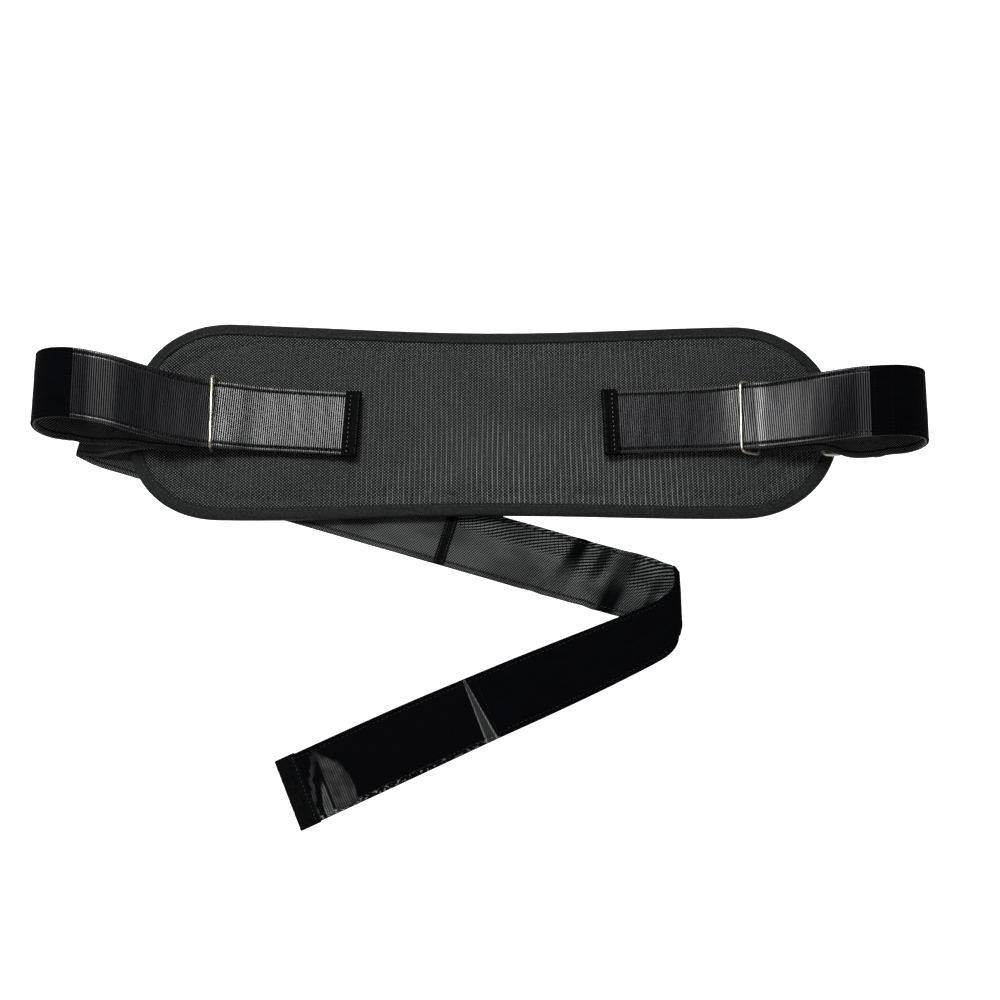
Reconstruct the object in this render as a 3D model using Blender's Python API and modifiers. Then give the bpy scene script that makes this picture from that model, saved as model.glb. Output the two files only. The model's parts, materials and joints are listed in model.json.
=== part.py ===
"""Gait belt laid out on its back: padded panel, two hand loops, closure strap and rings.

Metres, +Z up. The belt's length runs along X, its front faces +Z, and the closure strap
leaves the panel's lower edge (-Y). Sizes are first given in the panel's own frame, whose
origin is on the panel's back face; the root empty then moves the whole belt so that the
footprint's centre on the table is the origin.
"""
import math

import bmesh
import bpy
from mathutils import Vector

MM = 0.001

# Place of the panel's frame in the finished object
PANEL_FRAME = (7.725 * MM, 112.925 * MM, 4.6 * MM)

# Panel outline: a waisted middle between two superellipse ends
PANEL_HALF_WIDTH = 79.0 * MM
WAIST_DEPTH = 5.0 * MM
LEFT_END_START = -202.0 * MM
LEFT_END_LENGTH = 75.0 * MM
LEFT_END_POWER = 2.25
RIGHT_END_START = 192.0 * MM
RIGHT_END_LENGTH = 77.0 * MM
RIGHT_END_POWER = 2.05
END_SEGMENTS = 20
SIDE_SEGMENTS = 10

# Panel layers, from the back face up
CLOTH = 1.2 * MM
GAP = 0.3 * MM
FOAM_TOP = 8.5 * MM
RIM_WIDTH = 9.0 * MM
RIM_SLOPE = 8.0 * MM
RIM_BACK = 2.6 * MM
RIM_FRONT = 4.1 * MM
BINDING_OVERHANG = 1.0 * MM
BINDING_CLOTH = 1.1 * MM

# The line where the right half bends back round the wearer
BEND_X = 18.0 * MM

# Webbing and the tapes sewn to it
STRAP_WIDTH = 50.0 * MM
WEBBING = 1.4 * MM
TAPE = 1.2 * MM
LAYER_GAP = 0.35 * MM
PATH_STEPS = 3

# Binding folded over the cut end of a strap
FOLD_CLOTH = 0.9 * MM
TIP_BINDING_LENGTH = 11.0 * MM
END_BINDING_LENGTH = 14.0 * MM

# Rectangular wire rings, measured between wire centres
WIRE_RADIUS = 1.2 * MM
RING_LENGTH = 55.6 * MM
RING_DEPTH = 15.6 * MM
RING_CORNER = 3.4 * MM
RING_Z = 12.7 * MM
CORNER_SEGMENTS = 4

# Folded tab that holds a ring's rear bar
KEEPER_CLOTH = 0.7 * MM
KEEPER_RADIUS = 1.5 * MM
KEEPER_WIDTH = 44.0 * MM
KEEPER_LENGTH = 23.5 * MM

# Hand loops: the ring's rear bar, the strap's heading, and how far the loop reaches past it
RING_PLACES = {-1: (-210.0 * MM, -3.0 * MM), 1: (205.0 * MM, -3.0 * MM)}
HANDLE_HEADINGS = {-1: math.radians(-2.2), 1: math.radians(1.2)}
LOOP_REACH = {-1: 133.5 * MM, 1: 123.0 * MM}
TIP_REACH = {-1: 112.0 * MM, 1: 117.5 * MM}
RING_ANGLES = {-1: math.radians(90.0), 1: math.radians(32.0)}
STRAP_IN_RING_Z = 16.8 * MM
TIP_HINGE = (18.0 * MM, 14.4 * MM)
JOINT_GAP = 1.5 * MM
VELVET_LENGTH = 33.0 * MM
VELVET_UNDERCUT = 12.0 * MM
STATION_SLACK = 0.2 * MM

# Closure strap: two flat folds, one at the left end and one at the far end
ANCHOR_FOLD = (-315.0 * MM, -5.0 * MM)
FAR_FOLD = (142.0 * MM, -140.0 * MM)
OUTER_HEADING = math.radians(204.2)
OUTER_SWAY = 14.4 * MM
SWAY_LENGTH = 50.0 * MM
FOLD_Z = -1.55 * MM
FOLD_LAYER = 0.15 * MM
FOLD_SETBACK = 1.6 * MM
OUTER_LENGTH = 318.5 * MM
HOOK_LENGTH = 132.0 * MM
PATCH_ALONG = 292.0 * MM
PATCH_LENGTH = 8.0 * MM
PATCH_CLOTH = 1.0 * MM

# Closure ring at the panel's right end
CLOSURE_RING_PLACE = (253.5 * MM, -2.0 * MM)

COLOURS = {
    "mesh_cloth": ((0.045, 0.047, 0.050), 0.85, 0.0),
    "foam": ((0.060, 0.060, 0.062), 0.95, 0.0),
    "lining_cloth": ((0.030, 0.030, 0.032), 0.90, 0.0),
    "binding_tape": ((0.016, 0.018, 0.018), 0.80, 0.0),
    "webbing": ((0.020, 0.021, 0.024), 0.75, 0.0),
    "ribbed_tape": ((0.035, 0.036, 0.040), 0.35, 0.0),
    "velvet_tape": ((0.008, 0.009, 0.012), 0.95, 0.0),
    "hook_tape": ((0.020, 0.021, 0.023), 0.40, 0.0),
    "nickel": ((0.780, 0.730, 0.620), 0.25, 1.0),
}


def clear_scene():
    for old in list(bpy.data.objects):
        bpy.data.objects.remove(old, do_unlink=True)


def make_material(name):
    colour, roughness, metallic = COLOURS[name]
    material = bpy.data.materials.new(name)
    material.use_nodes = True
    shader = material.node_tree.nodes["Principled BSDF"]
    shader.inputs["Base Color"].default_value = (*colour, 1.0)
    shader.inputs["Roughness"].default_value = roughness
    shader.inputs["Metallic"].default_value = metallic
    material.diffuse_color = (*colour, 1.0)
    return material


def add_empty(name, location, parent=None, heading=0.0):
    empty = bpy.data.objects.new(name, None)
    empty.location = location
    empty.rotation_euler = (0.0, 0.0, heading)
    empty.parent = parent
    empty.empty_display_size = 0.02
    belt.objects.link(empty)
    return empty


def add_mesh(name, bm, material, parent, origin=(0.0, 0.0, 0.0)):
    """Link a bmesh as a named object whose origin is its parent's."""
    bmesh.ops.translate(bm, verts=bm.verts, vec=-Vector(origin))
    mesh = bpy.data.meshes.new(name)
    bm.to_mesh(mesh)
    bm.free()
    mesh.materials.append(materials[material])
    part = bpy.data.objects.new(name, mesh)
    part.parent = parent
    belt.objects.link(part)
    return part


def thicken(part, thickness):
    """Grow an open skin outwards, along its normals."""
    solidify = part.modifiers.new("thickness", "SOLIDIFY")
    solidify.thickness = thickness
    solidify.offset = 1.0
    solidify.use_even_offset = True


# ---- Panel ----


def end_outline(start, length, power, side):
    """Points round one end, from the lower edge to the upper one (side is +1 on the right)."""
    points = []
    for step in range(END_SEGMENTS + 1):
        angle = math.pi * (step / END_SEGMENTS - 0.5)
        cosine = math.cos(angle)
        sine = math.sin(angle)
        x = start + side * length * abs(cosine) ** (2.0 / power)
        y = PANEL_HALF_WIDTH * math.copysign(abs(sine) ** (2.0 / power), sine)
        points.append((x, y))
    return points


def side_outline():
    """Points along the upper edge, from the right end to the left, without the end points."""
    points = []
    for step in range(1, SIDE_SEGMENTS):
        share = step / SIDE_SEGMENTS
        x = RIGHT_END_START + (LEFT_END_START - RIGHT_END_START) * share
        waist = WAIST_DEPTH * math.sin(math.pi * share) ** 2
        points.append((x, PANEL_HALF_WIDTH - waist))
    return points


def panel_outline():
    right = end_outline(RIGHT_END_START, RIGHT_END_LENGTH, RIGHT_END_POWER, 1.0)
    left = end_outline(LEFT_END_START, LEFT_END_LENGTH, LEFT_END_POWER, -1.0)
    upper = side_outline()
    lower = [(x, -y) for x, y in reversed(upper)]
    return right + upper + list(reversed(left)) + lower


def inset_outline(points, inset):
    """The outline moved inwards by inset, along each point's own normal."""
    moved = []
    for index, (x, y) in enumerate(points):
        before = points[index - 1]
        after = points[(index + 1) % len(points)]
        normal = Vector((before[1] - after[1], after[0] - before[0])).normalized()
        moved.append((x + normal.x * inset, y + normal.y * inset))
    return moved


def mapped_grid(columns, rows, place):
    """A grid whose corner at (column, row) stands at place(column, row)."""
    bm = bmesh.new()
    bmesh.ops.create_grid(bm, x_segments=columns, y_segments=rows, size=1.0)
    for vert in bm.verts:
        column = round((vert.co.x + 1.0) / 2.0 * columns)
        row = round((vert.co.y + 1.0) / 2.0 * rows)
        vert.co = place(column, row)
    return bm


def open_edges(bm):
    return [edge for edge in bm.edges if len(edge.link_faces) == 1]


def panel_surface(rows, capped_rows=()):
    """A skin round the panel through each row's (inset, height), closed across some rows."""
    outline = panel_outline()
    loops = [inset_outline(outline, inset) for inset, height in rows]

    def place(column, row):
        x, y = loops[row][column % len(outline)]
        return Vector((x, y, rows[row][1]))

    bm = mapped_grid(len(outline), len(rows) - 1, place)
    bmesh.ops.remove_doubles(bm, verts=bm.verts, dist=0.001 * MM)
    for row in capped_rows:
        height = rows[row][1]
        rim = [edge for edge in open_edges(bm) if abs(edge.verts[0].co.z - height) < 0.01 * MM]
        bmesh.ops.contextual_create(bm, geom=rim)
    bmesh.ops.recalc_face_normals(bm, faces=bm.faces)
    return bm


def keep_half(bm, side):
    """Cut the skin at the bend line and keep the left (-1) or right (+1) half."""
    bmesh.ops.bisect_plane(
        bm,
        geom=bm.verts[:] + bm.edges[:] + bm.faces[:],
        plane_co=(BEND_X + side * GAP / 2.0, 0.0, 0.0),
        plane_no=(1.0, 0.0, 0.0),
        clear_inner=side > 0,
        clear_outer=side < 0,
    )


def face_upwards(bm):
    """Turn an open skin so that its largest face looks up."""
    largest = max(bm.faces, key=lambda face: face.calc_area())
    if largest.normal.z < 0.0:
        bmesh.ops.reverse_faces(bm, faces=bm.faces)


def add_panel_half(prefix, side, parent, origin):
    cover_rows = [
        (0.5 * MM, RIM_FRONT),
        (RIM_WIDTH, RIM_FRONT),
        (RIM_WIDTH + RIM_SLOPE * 0.4, FOAM_TOP - CLOTH),
        (RIM_WIDTH + RIM_SLOPE, FOAM_TOP + GAP),
    ]
    bm = panel_surface(cover_rows, capped_rows=(3,))
    keep_half(bm, side)
    face_upwards(bm)
    thicken(add_mesh(prefix + "_cover", bm, "mesh_cloth", parent, origin), CLOTH)

    lining_rows = [
        (0.5 * MM, RIM_BACK),
        (RIM_WIDTH, RIM_BACK),
        (RIM_WIDTH + RIM_SLOPE * 0.6, 0.0),
    ]
    bm = panel_surface(lining_rows, capped_rows=(2,))
    keep_half(bm, side)
    face_upwards(bm)
    thicken(add_mesh(prefix + "_lining", bm, "lining_cloth", parent, origin), CLOTH)

    foam_rows = [
        (RIM_WIDTH + RIM_SLOPE, CLOTH + GAP),
        (RIM_WIDTH + RIM_SLOPE * 0.7, CLOTH + 5.0 * GAP),
        (RIM_WIDTH + RIM_SLOPE * 0.7, FOAM_TOP - 2.0 * CLOTH),
        (RIM_WIDTH + RIM_SLOPE * 1.3, FOAM_TOP),
    ]
    bm = panel_surface(foam_rows, capped_rows=(0, 3))
    keep_half(bm, side)
    bmesh.ops.contextual_create(bm, geom=open_edges(bm))
    bmesh.ops.recalc_face_normals(bm, faces=bm.faces)
    add_mesh(prefix + "_foam", bm, "foam", parent, origin)

    back = RIM_BACK - GAP
    front = RIM_FRONT + CLOTH + GAP
    outer = -BINDING_OVERHANG
    binding_rows = [
        (RIM_WIDTH - GAP, back),
        (outer * 0.4, back),
        (outer, back + 0.3 * (front - back)),
        (outer, back + 0.7 * (front - back)),
        (outer * 0.4, front),
        (RIM_WIDTH - GAP, front),
    ]
    bm = panel_surface(binding_rows)
    keep_half(bm, side)
    outward = max(bm.faces, key=lambda face: face.calc_center_median().z)
    if outward.normal.z < 0.0:
        bmesh.ops.reverse_faces(bm, faces=bm.faces)
    binding = add_mesh(prefix + "_binding", bm, "binding_tape", parent, origin)
    thicken(binding, BINDING_CLOTH)


# ---- Straps ----

# A path is a list of stations (run, height, middle, tilt): run along the strap's heading,
# height, the strap's middle across its heading, and its rise per unit of width. A strap
# fills from its path towards the path's right-hand side.


def smooth_path(knots):
    """A smooth curve through the knots; every value of a knot is carried along."""
    ends = [knots[0]] + knots + [knots[-1]]
    path = []
    for index in range(1, len(ends) - 2):
        before, start, end, after = ends[index - 1:index + 3]
        for step in range(PATH_STEPS):
            t = step / PATH_STEPS
            values = []
            for a, b, c, d in zip(before, start, end, after):
                square = 2.0 * a - 5.0 * b + 4.0 * c - d
                cubic = 3.0 * b - a - 3.0 * c + d
                values.append(0.5 * (2.0 * b + (c - a) * t + square * t ** 2 + cubic * t ** 3))
            path.append(tuple(values))
    path.append(knots[-1])
    return path


def right_hand(path, index):
    """The unit vector (run, height) to the right of the path at a station."""
    before = path[max(index - 1, 0)]
    after = path[min(index + 1, len(path) - 1)]
    along = Vector((after[0] - before[0], after[1] - before[1])).normalized()
    return Vector((along.y, -along.x))


def offset_path(path, distance):
    """The path moved to its right by distance."""
    moved = []
    for index, (run, height, middle, tilt) in enumerate(path):
        outward = right_hand(path, index)
        moved.append((run + outward.x * distance, height + outward.y * distance, middle, tilt))
    return moved


def add_strap(name, path, width, thickness, material, parent, side=1, skews=(0.0, 0.0)):
    """A strap along a path whose run points to +X (side 1) or -X (side -1).

    skews slant the two cut ends: each is the run gained per unit of width.
    """
    last = len(path) - 1
    slant = {0: skews[0], last: skews[1]}

    def place(column, row):
        run, height, middle, tilt = path[column]
        across = (row - 0.5) * width
        x = side * (run + across * slant.get(column, 0.0))
        return Vector((x, middle + across, height + across * tilt))

    bm = mapped_grid(last, 1, place)
    if side > 0:
        bmesh.ops.reverse_faces(bm, faces=bm.faces)
    part = add_mesh(name, bm, material, parent)
    thicken(part, thickness)
    return part


def shift_path(path, run, height):
    return [(s[0] - run, s[1] - height, s[2], s[3]) for s in path]


def folded_end(run, length, bottom, top, middle=0.0):
    """Path of a binding folded over a strap's end at run, on the strap's +run side."""
    lip = FOLD_CLOTH * 0.4
    profile = [
        (run - length, bottom),
        (run - lip, bottom),
        (run, bottom + lip),
        (run, top - lip),
        (run - lip, top),
        (run - length, top),
    ]
    return [(x, z, middle, 0.0) for x, z in profile]


# ---- Rings ----


def ring_outline():
    """Points round the ring, from its rear bar (depth 0) to its front bar, as (depth, across)."""
    half = RING_LENGTH / 2.0
    corners = [
        (RING_CORNER, RING_CORNER - half, 180.0),
        (RING_DEPTH - RING_CORNER, RING_CORNER - half, 270.0),
        (RING_DEPTH - RING_CORNER, half - RING_CORNER, 0.0),
        (RING_CORNER, half - RING_CORNER, 90.0),
    ]
    points = []
    for depth, across, start in corners:
        for step in range(CORNER_SEGMENTS + 1):
            angle = math.radians(start + 90.0 * step / CORNER_SEGMENTS)
            points.append((
                depth + RING_CORNER * math.cos(angle),
                across + RING_CORNER * math.sin(angle),
            ))
    return points


def add_ring(name, parent, direction):
    """A wire ring whose front bar lies towards direction, an (x, z) unit vector."""
    curve = bpy.data.curves.new(name, "CURVE")
    curve.dimensions = "3D"
    curve.bevel_depth = WIRE_RADIUS
    curve.bevel_resolution = 2
    spline = curve.splines.new("POLY")
    points = ring_outline()
    spline.points.add(len(points) - 1)
    for point, (depth, across) in zip(spline.points, points):
        point.co = (depth * direction[0], across, depth * direction[1], 1.0)
    spline.use_cyclic_u = True
    curve.materials.append(materials["nickel"])
    ring = bpy.data.objects.new(name, curve)
    ring.parent = parent
    belt.objects.link(ring)


def add_keeper(name, parent, side):
    """A folded tab round a bar on the parent's axis, its tail towards side along X."""
    half = [math.radians(90.0 + 45.0 * step) for step in range(5)]
    arc = [(KEEPER_RADIUS * math.cos(a), KEEPER_RADIUS * math.sin(a), 0.0, 0.0) for a in half]
    upper = [
        (KEEPER_LENGTH, -1.4 * MM, 0.0, 0.0),
        (12.0 * MM, -1.2 * MM, 0.0, 0.0),
        (6.0 * MM, 0.1 * MM, 0.0, 0.0),
    ]
    lower = [
        (6.0 * MM, -1.65 * MM, 0.0, 0.0),
        (KEEPER_LENGTH, -1.65 * MM, 0.0, 0.0),
    ]
    path = upper + arc + lower
    add_strap(name, path, KEEPER_WIDTH, KEEPER_CLOTH, "webbing", parent, side)


# ---- Hand loops ----


def loop_knots(side):
    """Inner face of the loop: (run from the ring's rear bar, height, middle, tilt) in mm."""
    if side < 0:
        base = [
            (24.5, 13.8, 0.0, 0.0),
            (48.0, 13.8, 1.5, 0.0),
            (57.0, 13.4, 3.0, 0.0),
            (66.0, 12.0, 4.0, 0.0),
            (74.0, 9.9, 5.0, 0.0),
            (82.0, 7.6, 5.5, 0.0),
            (92.0, 6.0, 6.0, 0.0),
            (101.0, 5.5, 7.0, 0.02),
        ]
        sway = 12.5
        drag = 0.0
    else:
        base = [
            (24.5, 13.8, 0.0, 0.0),
            (36.0, 14.1, 0.0, 0.0),
            (43.0, 16.4, 0.0, 0.0),
            (50.0, 17.8, 0.0, 0.0),
            (58.0, 18.3, 0.0, 0.0),
            (66.0, 17.8, -1.5, 0.0),
            (75.0, 15.0, -3.2, 0.0),
            (86.0, 10.4, -4.2, 0.0),
            (96.0, 7.4, -4.2, 0.02),
        ]
        sway = 1.0
        drag = -3.0
    reach = LOOP_REACH[side] / MM
    turn = [
        (reach - 21.0, 5.7, 0.73 * sway + drag, 0.04),
        (reach - 10.0, 7.4, 0.80 * sway + 0.7 * drag, 0.08),
        (reach - 3.0, 13.0, 0.86 * sway + 0.4 * drag, 0.12),
        (reach, 22.5, 0.90 * sway, 0.16),
        (reach - 1.5, 32.5, 0.95 * sway, 0.20),
        (reach - 7.0, 40.0, 0.98 * sway, 0.24),
        (reach - 18.0, 45.0, sway, 0.25),
    ]
    back = [
        (0.74 * reach, 46.4, 0.95 * sway, 0.25),
        (0.57 * reach, 44.6, 0.72 * sway, 0.24),
        (0.40 * reach, 38.4, 0.46 * sway, 0.18),
        (0.25 * reach, 29.8, 0.11 * sway, 0.09),
        (0.12 * reach, 21.8, 0.0, 0.02),
        (0.05 * reach, 17.8, 0.0, 0.0),
        (JOINT_GAP / MM, 15.9, 0.0, 0.0),
    ]
    return [tuple(v * MM for v in k[:3]) + (k[3],) for k in base + turn + back]


def tip_knots(side):
    """Under face of the strap from the ring towards the panel's middle, in mm."""
    reach = TIP_REACH[side] / MM
    knots = [
        (-JOINT_GAP / MM, 15.35, 0.0, 0.0),
        (-5.0, 15.0, 0.0, 0.0),
        (-12.0, 13.8, 0.0, 0.0),
        (-18.0, 12.7, 0.0, 0.0),
        (-26.0, 11.3, 0.0, 0.0),
        (-36.0, 10.5, 0.0, 0.0),
        (-52.0, 10.35, 0.0, 0.0),
        (0.3 - reach, 10.35, 0.0, 0.0),
    ]
    return [tuple(v * MM for v in k[:3]) + (k[3],) for k in knots]


def add_handle(prefix, side, parent, parent_x):
    """One hand loop with its ring; parent_x is the parent's place in the panel's frame."""
    ring_x, ring_y = RING_PLACES[side]
    place = (ring_x - parent_x, ring_y, 0.0)
    handle = add_empty(prefix + "_handle", place, parent, HANDLE_HEADINGS[side])

    axle = add_empty(prefix + "_ring_swing", (0.0, 0.0, RING_Z), handle)
    angle = RING_ANGLES[side]
    add_ring(prefix + "_ring", axle, (-side * math.cos(angle), math.sin(angle)))
    keeper_place = add_empty(prefix + "_keeper_place", (0.0, 0.0, RING_Z), handle)
    add_keeper(prefix + "_ring_keeper", keeper_place, side)

    lift = add_empty(prefix + "_handle_lift", (0.0, 0.0, STRAP_IN_RING_Z), handle)
    inner = shift_path(smooth_path(loop_knots(side)), 0.0, STRAP_IN_RING_Z)
    outer = offset_path(inner, WEBBING + LAYER_GAP)
    add_strap(prefix + "_loop_webbing", inner, STRAP_WIDTH, WEBBING, "webbing", lift, side)
    turn = max(range(len(outer)), key=lambda i: outer[i][0])
    seam = LOOP_REACH[side] - VELVET_LENGTH
    velvet = [s for i, s in enumerate(outer) if s[0] > seam + (VELVET_UNDERCUT if i < turn else 0.0)]
    add_strap(prefix + "_loop_velvet", velvet, STRAP_WIDTH, TAPE, "velvet_tape", lift, side)
    ribbed = [s for i, s in enumerate(outer) if i > turn and s[0] < seam]
    add_strap(prefix + "_loop_tape", ribbed, STRAP_WIDTH, TAPE, "ribbed_tape", lift, side)

    under = smooth_path(tip_knots(side))
    above = offset_path(under, WEBBING + LAYER_GAP)
    hinge_run = TIP_HINGE[0]
    near = [s for s in under if s[0] > STATION_SLACK - hinge_run]
    near_above = [s for s in above if s[0] > STATION_SLACK - hinge_run]
    add_strap(prefix + "_ring_webbing", near, STRAP_WIDTH, WEBBING, "webbing", handle, side)
    add_strap(prefix + "_ring_tape", near_above, STRAP_WIDTH, TAPE, "ribbed_tape", handle, side)

    peel_place = (-side * hinge_run, 0.0, TIP_HINGE[1])
    peel = add_empty(prefix + "_tip_peel", peel_place, handle)
    tip_end = -TIP_REACH[side]
    hook_end = tip_end + TIP_BINDING_LENGTH + GAP
    far = [s for s in under if hook_end < s[0] < -hinge_run - GAP]
    far.append((hook_end, under[-1][1], 0.0, 0.0))
    far_above = [s for s in above if s[0] < -hinge_run - GAP]
    far_above[-1] = (tip_end + FOLD_CLOTH + GAP, *far_above[-1][1:])
    far = shift_path(far, -hinge_run, TIP_HINGE[1])
    far_above = shift_path(far_above, -hinge_run, TIP_HINGE[1])
    add_strap(prefix + "_tip_hook", far, STRAP_WIDTH, WEBBING, "hook_tape", peel, side)
    add_strap(prefix + "_tip_tape", far_above, STRAP_WIDTH, TAPE, "ribbed_tape", peel, side)
    tape_z = far_above[-1][1]
    wrap = folded_end(
        -(tip_end + FOLD_CLOTH + hinge_run),
        TIP_BINDING_LENGTH - FOLD_CLOTH,
        tape_z - GAP,
        tape_z + TAPE + GAP,
    )
    add_strap(prefix + "_tip_binding", wrap, STRAP_WIDTH + 1.0 * MM, FOLD_CLOTH,
              "binding_tape", peel, -side)


# ---- Closure strap ----


def crease_skew(crease, heading):
    """Run gained per unit of width along a crease, for a strap with that heading."""
    return 1.0 / math.tan(crease - heading)


def flat_path(start, end, height):
    return [(start, height, 0.0, 0.0), (end, height, 0.0, 0.0)]


def add_closure(parent):
    run_x = FAR_FOLD[0] - ANCHOR_FOLD[0]
    run_y = FAR_FOLD[1] - ANCHOR_FOLD[1]
    heading = math.atan2(run_y, run_x)
    length = math.hypot(run_x, run_y)
    near_crease = (math.pi + heading) / 2.0
    far_crease = (heading + OUTER_HEADING) / 2.0

    anchor_knots = [
        (FOLD_SETBACK, 1.55, 0.0, 0.0),
        (9.0 * MM, 1.55, 0.2, 0.0),
        (17.0 * MM, 2.95, 0.6, 0.0),
        (25.0 * MM, 6.15, 1.2, 0.0),
        (32.0 * MM, 9.3, 1.8, 0.0),
        (39.0 * MM, 11.3, 2.4, 0.0),
        (48.0 * MM, 12.8, 3.2, 0.0),
        (57.0 * MM, 13.35, 4.0, 0.0),
        (79.0 * MM, 13.35, 4.0, 0.0),
    ]
    anchor = smooth_path([(k[0], k[1] * MM, k[2] * MM, k[3]) for k in anchor_knots])
    anchor_place = add_empty("closure_anchor_place", (*ANCHOR_FOLD, FOLD_Z), parent)
    add_strap("closure_anchor", anchor, STRAP_WIDTH, WEBBING, "webbing", anchor_place,
              skews=(crease_skew(near_crease, 0.0), 0.0))

    swing = add_empty("closure_swing", (*ANCHOR_FOLD, FOLD_Z), parent, heading)
    skews = (crease_skew(near_crease, heading), crease_skew(far_crease, heading))
    web = flat_path(FOLD_SETBACK, length - FOLD_SETBACK, -FOLD_LAYER)
    add_strap("closure_inner_webbing", web, STRAP_WIDTH, WEBBING, "webbing", swing,
              skews=skews)
    velvet = flat_path(FOLD_SETBACK, length - FOLD_SETBACK, -FOLD_LAYER - WEBBING - GAP)
    add_strap("closure_inner_velvet", velvet, STRAP_WIDTH, TAPE, "velvet_tape", swing,
              skews=skews)
    patch = flat_path(PATCH_ALONG, PATCH_ALONG + PATCH_LENGTH, -FOLD_LAYER + GAP + PATCH_CLOTH)
    add_strap("closure_seam_patch", patch, STRAP_WIDTH, PATCH_CLOTH, "binding_tape", swing)

    fold = add_empty("closure_fold", (length, 0.0, 0.0), swing, OUTER_HEADING - heading)
    skews = (crease_skew(far_crease, OUTER_HEADING), 0.0)
    top = FOLD_LAYER + WEBBING
    end = OUTER_LENGTH - FOLD_CLOTH - GAP
    web = [(FOLD_SETBACK, top, 0.0, 0.0)]
    for run, sway in ((0.24, 0.42), (0.48, 0.80), (0.72, 0.96), (1.0, 1.0)):
        web.append((run * SWAY_LENGTH, top, sway * OUTER_SWAY, 0.0))
    for run in (OUTER_LENGTH - END_BINDING_LENGTH - HOOK_LENGTH, end):
        web.append((run, top, OUTER_SWAY, 0.0))
    add_strap("closure_outer_webbing", web, STRAP_WIDTH, WEBBING, "webbing", fold,
              skews=skews)
    above = shift_path(web, 0.0, -GAP - TAPE)
    velvet = above[:-1]
    add_strap("closure_outer_velvet", velvet, STRAP_WIDTH, TAPE, "velvet_tape", fold,
              skews=skews)
    hook = [above[-2], above[-1]]
    hook[0] = (hook[0][0] + GAP, *hook[0][1:])
    hook[1] = (OUTER_LENGTH - END_BINDING_LENGTH - GAP, *hook[1][1:])
    add_strap("closure_hook_tape", hook, STRAP_WIDTH, TAPE, "hook_tape", fold)
    wrap = folded_end(
        OUTER_LENGTH - FOLD_CLOTH,
        END_BINDING_LENGTH - FOLD_CLOTH,
        top - WEBBING - GAP,
        top + GAP,
        OUTER_SWAY,
    )
    add_strap("closure_end_binding", wrap, STRAP_WIDTH + 1.0 * MM, FOLD_CLOTH,
              "binding_tape", fold)


clear_scene()
belt = bpy.data.collections.new("gait_belt")
bpy.context.scene.collection.children.link(belt)
materials = {name: make_material(name) for name in COLOURS}

panel = add_empty("panel_frame", PANEL_FRAME)
bend = add_empty("panel_bend", (BEND_X, 0.0, 0.0), panel)
add_panel_half("left", -1, panel, (0.0, 0.0, 0.0))
add_panel_half("right", 1, bend, (BEND_X, 0.0, 0.0))
add_handle("left", -1, panel, 0.0)
add_handle("right", 1, bend, BEND_X)
ring_place = (CLOSURE_RING_PLACE[0] - BEND_X, CLOSURE_RING_PLACE[1], RING_Z)
ring_pivot = add_empty("closure_ring_swing", ring_place, bend)
add_ring("closure_ring", ring_pivot, (1.0, 0.0))
tab_place = add_empty("closure_tab_place", ring_place, bend)
add_keeper("closure_ring_tab", tab_place, -1)
add_closure(panel)
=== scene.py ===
"""Looks of the gait belt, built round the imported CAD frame.

Shapes are worked out in the panel's frame: metres, origin on the panel's back face, X
along the belt, Y towards its upper edge, Z out of its front. Every cloth surface carries
a UV map named "weave" that holds metres along and across the cloth.
"""

import json
import math

import bpy
import numpy as np
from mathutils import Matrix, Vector


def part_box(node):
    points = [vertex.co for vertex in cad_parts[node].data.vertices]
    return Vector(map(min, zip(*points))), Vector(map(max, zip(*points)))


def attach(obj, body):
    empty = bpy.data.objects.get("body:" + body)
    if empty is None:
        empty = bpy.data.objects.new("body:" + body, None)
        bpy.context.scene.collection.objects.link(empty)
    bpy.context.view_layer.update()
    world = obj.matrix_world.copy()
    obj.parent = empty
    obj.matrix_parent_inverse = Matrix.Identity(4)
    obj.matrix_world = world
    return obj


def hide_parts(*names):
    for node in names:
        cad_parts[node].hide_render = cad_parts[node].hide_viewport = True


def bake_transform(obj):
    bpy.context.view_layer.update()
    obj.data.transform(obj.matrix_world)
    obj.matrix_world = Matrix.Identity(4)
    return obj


MM = 0.001
UP = np.array((0.0, 0.0, 1.0))
RIGHTWARD = np.array((1.0, 0.0, 0.0))
UPPERWARD = np.array((0.0, 1.0, 0.0))
LEVEL = np.array((1.0, 1.0, 0.0))

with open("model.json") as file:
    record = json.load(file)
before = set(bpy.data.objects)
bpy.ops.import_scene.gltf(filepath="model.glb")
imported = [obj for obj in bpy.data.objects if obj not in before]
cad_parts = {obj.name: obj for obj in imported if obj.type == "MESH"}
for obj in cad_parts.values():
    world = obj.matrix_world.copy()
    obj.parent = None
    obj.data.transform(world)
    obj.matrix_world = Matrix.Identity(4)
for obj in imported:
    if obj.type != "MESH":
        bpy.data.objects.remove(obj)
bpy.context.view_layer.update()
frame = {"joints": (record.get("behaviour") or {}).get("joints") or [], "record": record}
joints = {joint["name"]: joint for joint in frame["joints"]}

# The panel frame's origin, from the mount on the panel's back face
MOUNT_RUN = 110.0 * MM
PANEL = np.array(frame["record"]["mounts"][0]["pos_m"]) - (MOUNT_RUN, 0.0, 0.0)


def in_panel(point):
    return np.array(point, float) - PANEL


def node_box(*names):
    """Lowest and highest corner of some CAD nodes, in the panel's frame."""
    corners = [in_panel(corner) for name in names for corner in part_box(name)]
    return np.min(corners, axis=0), np.max(corners, axis=0)


# ---- Sizes that shapes and materials share ----

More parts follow.
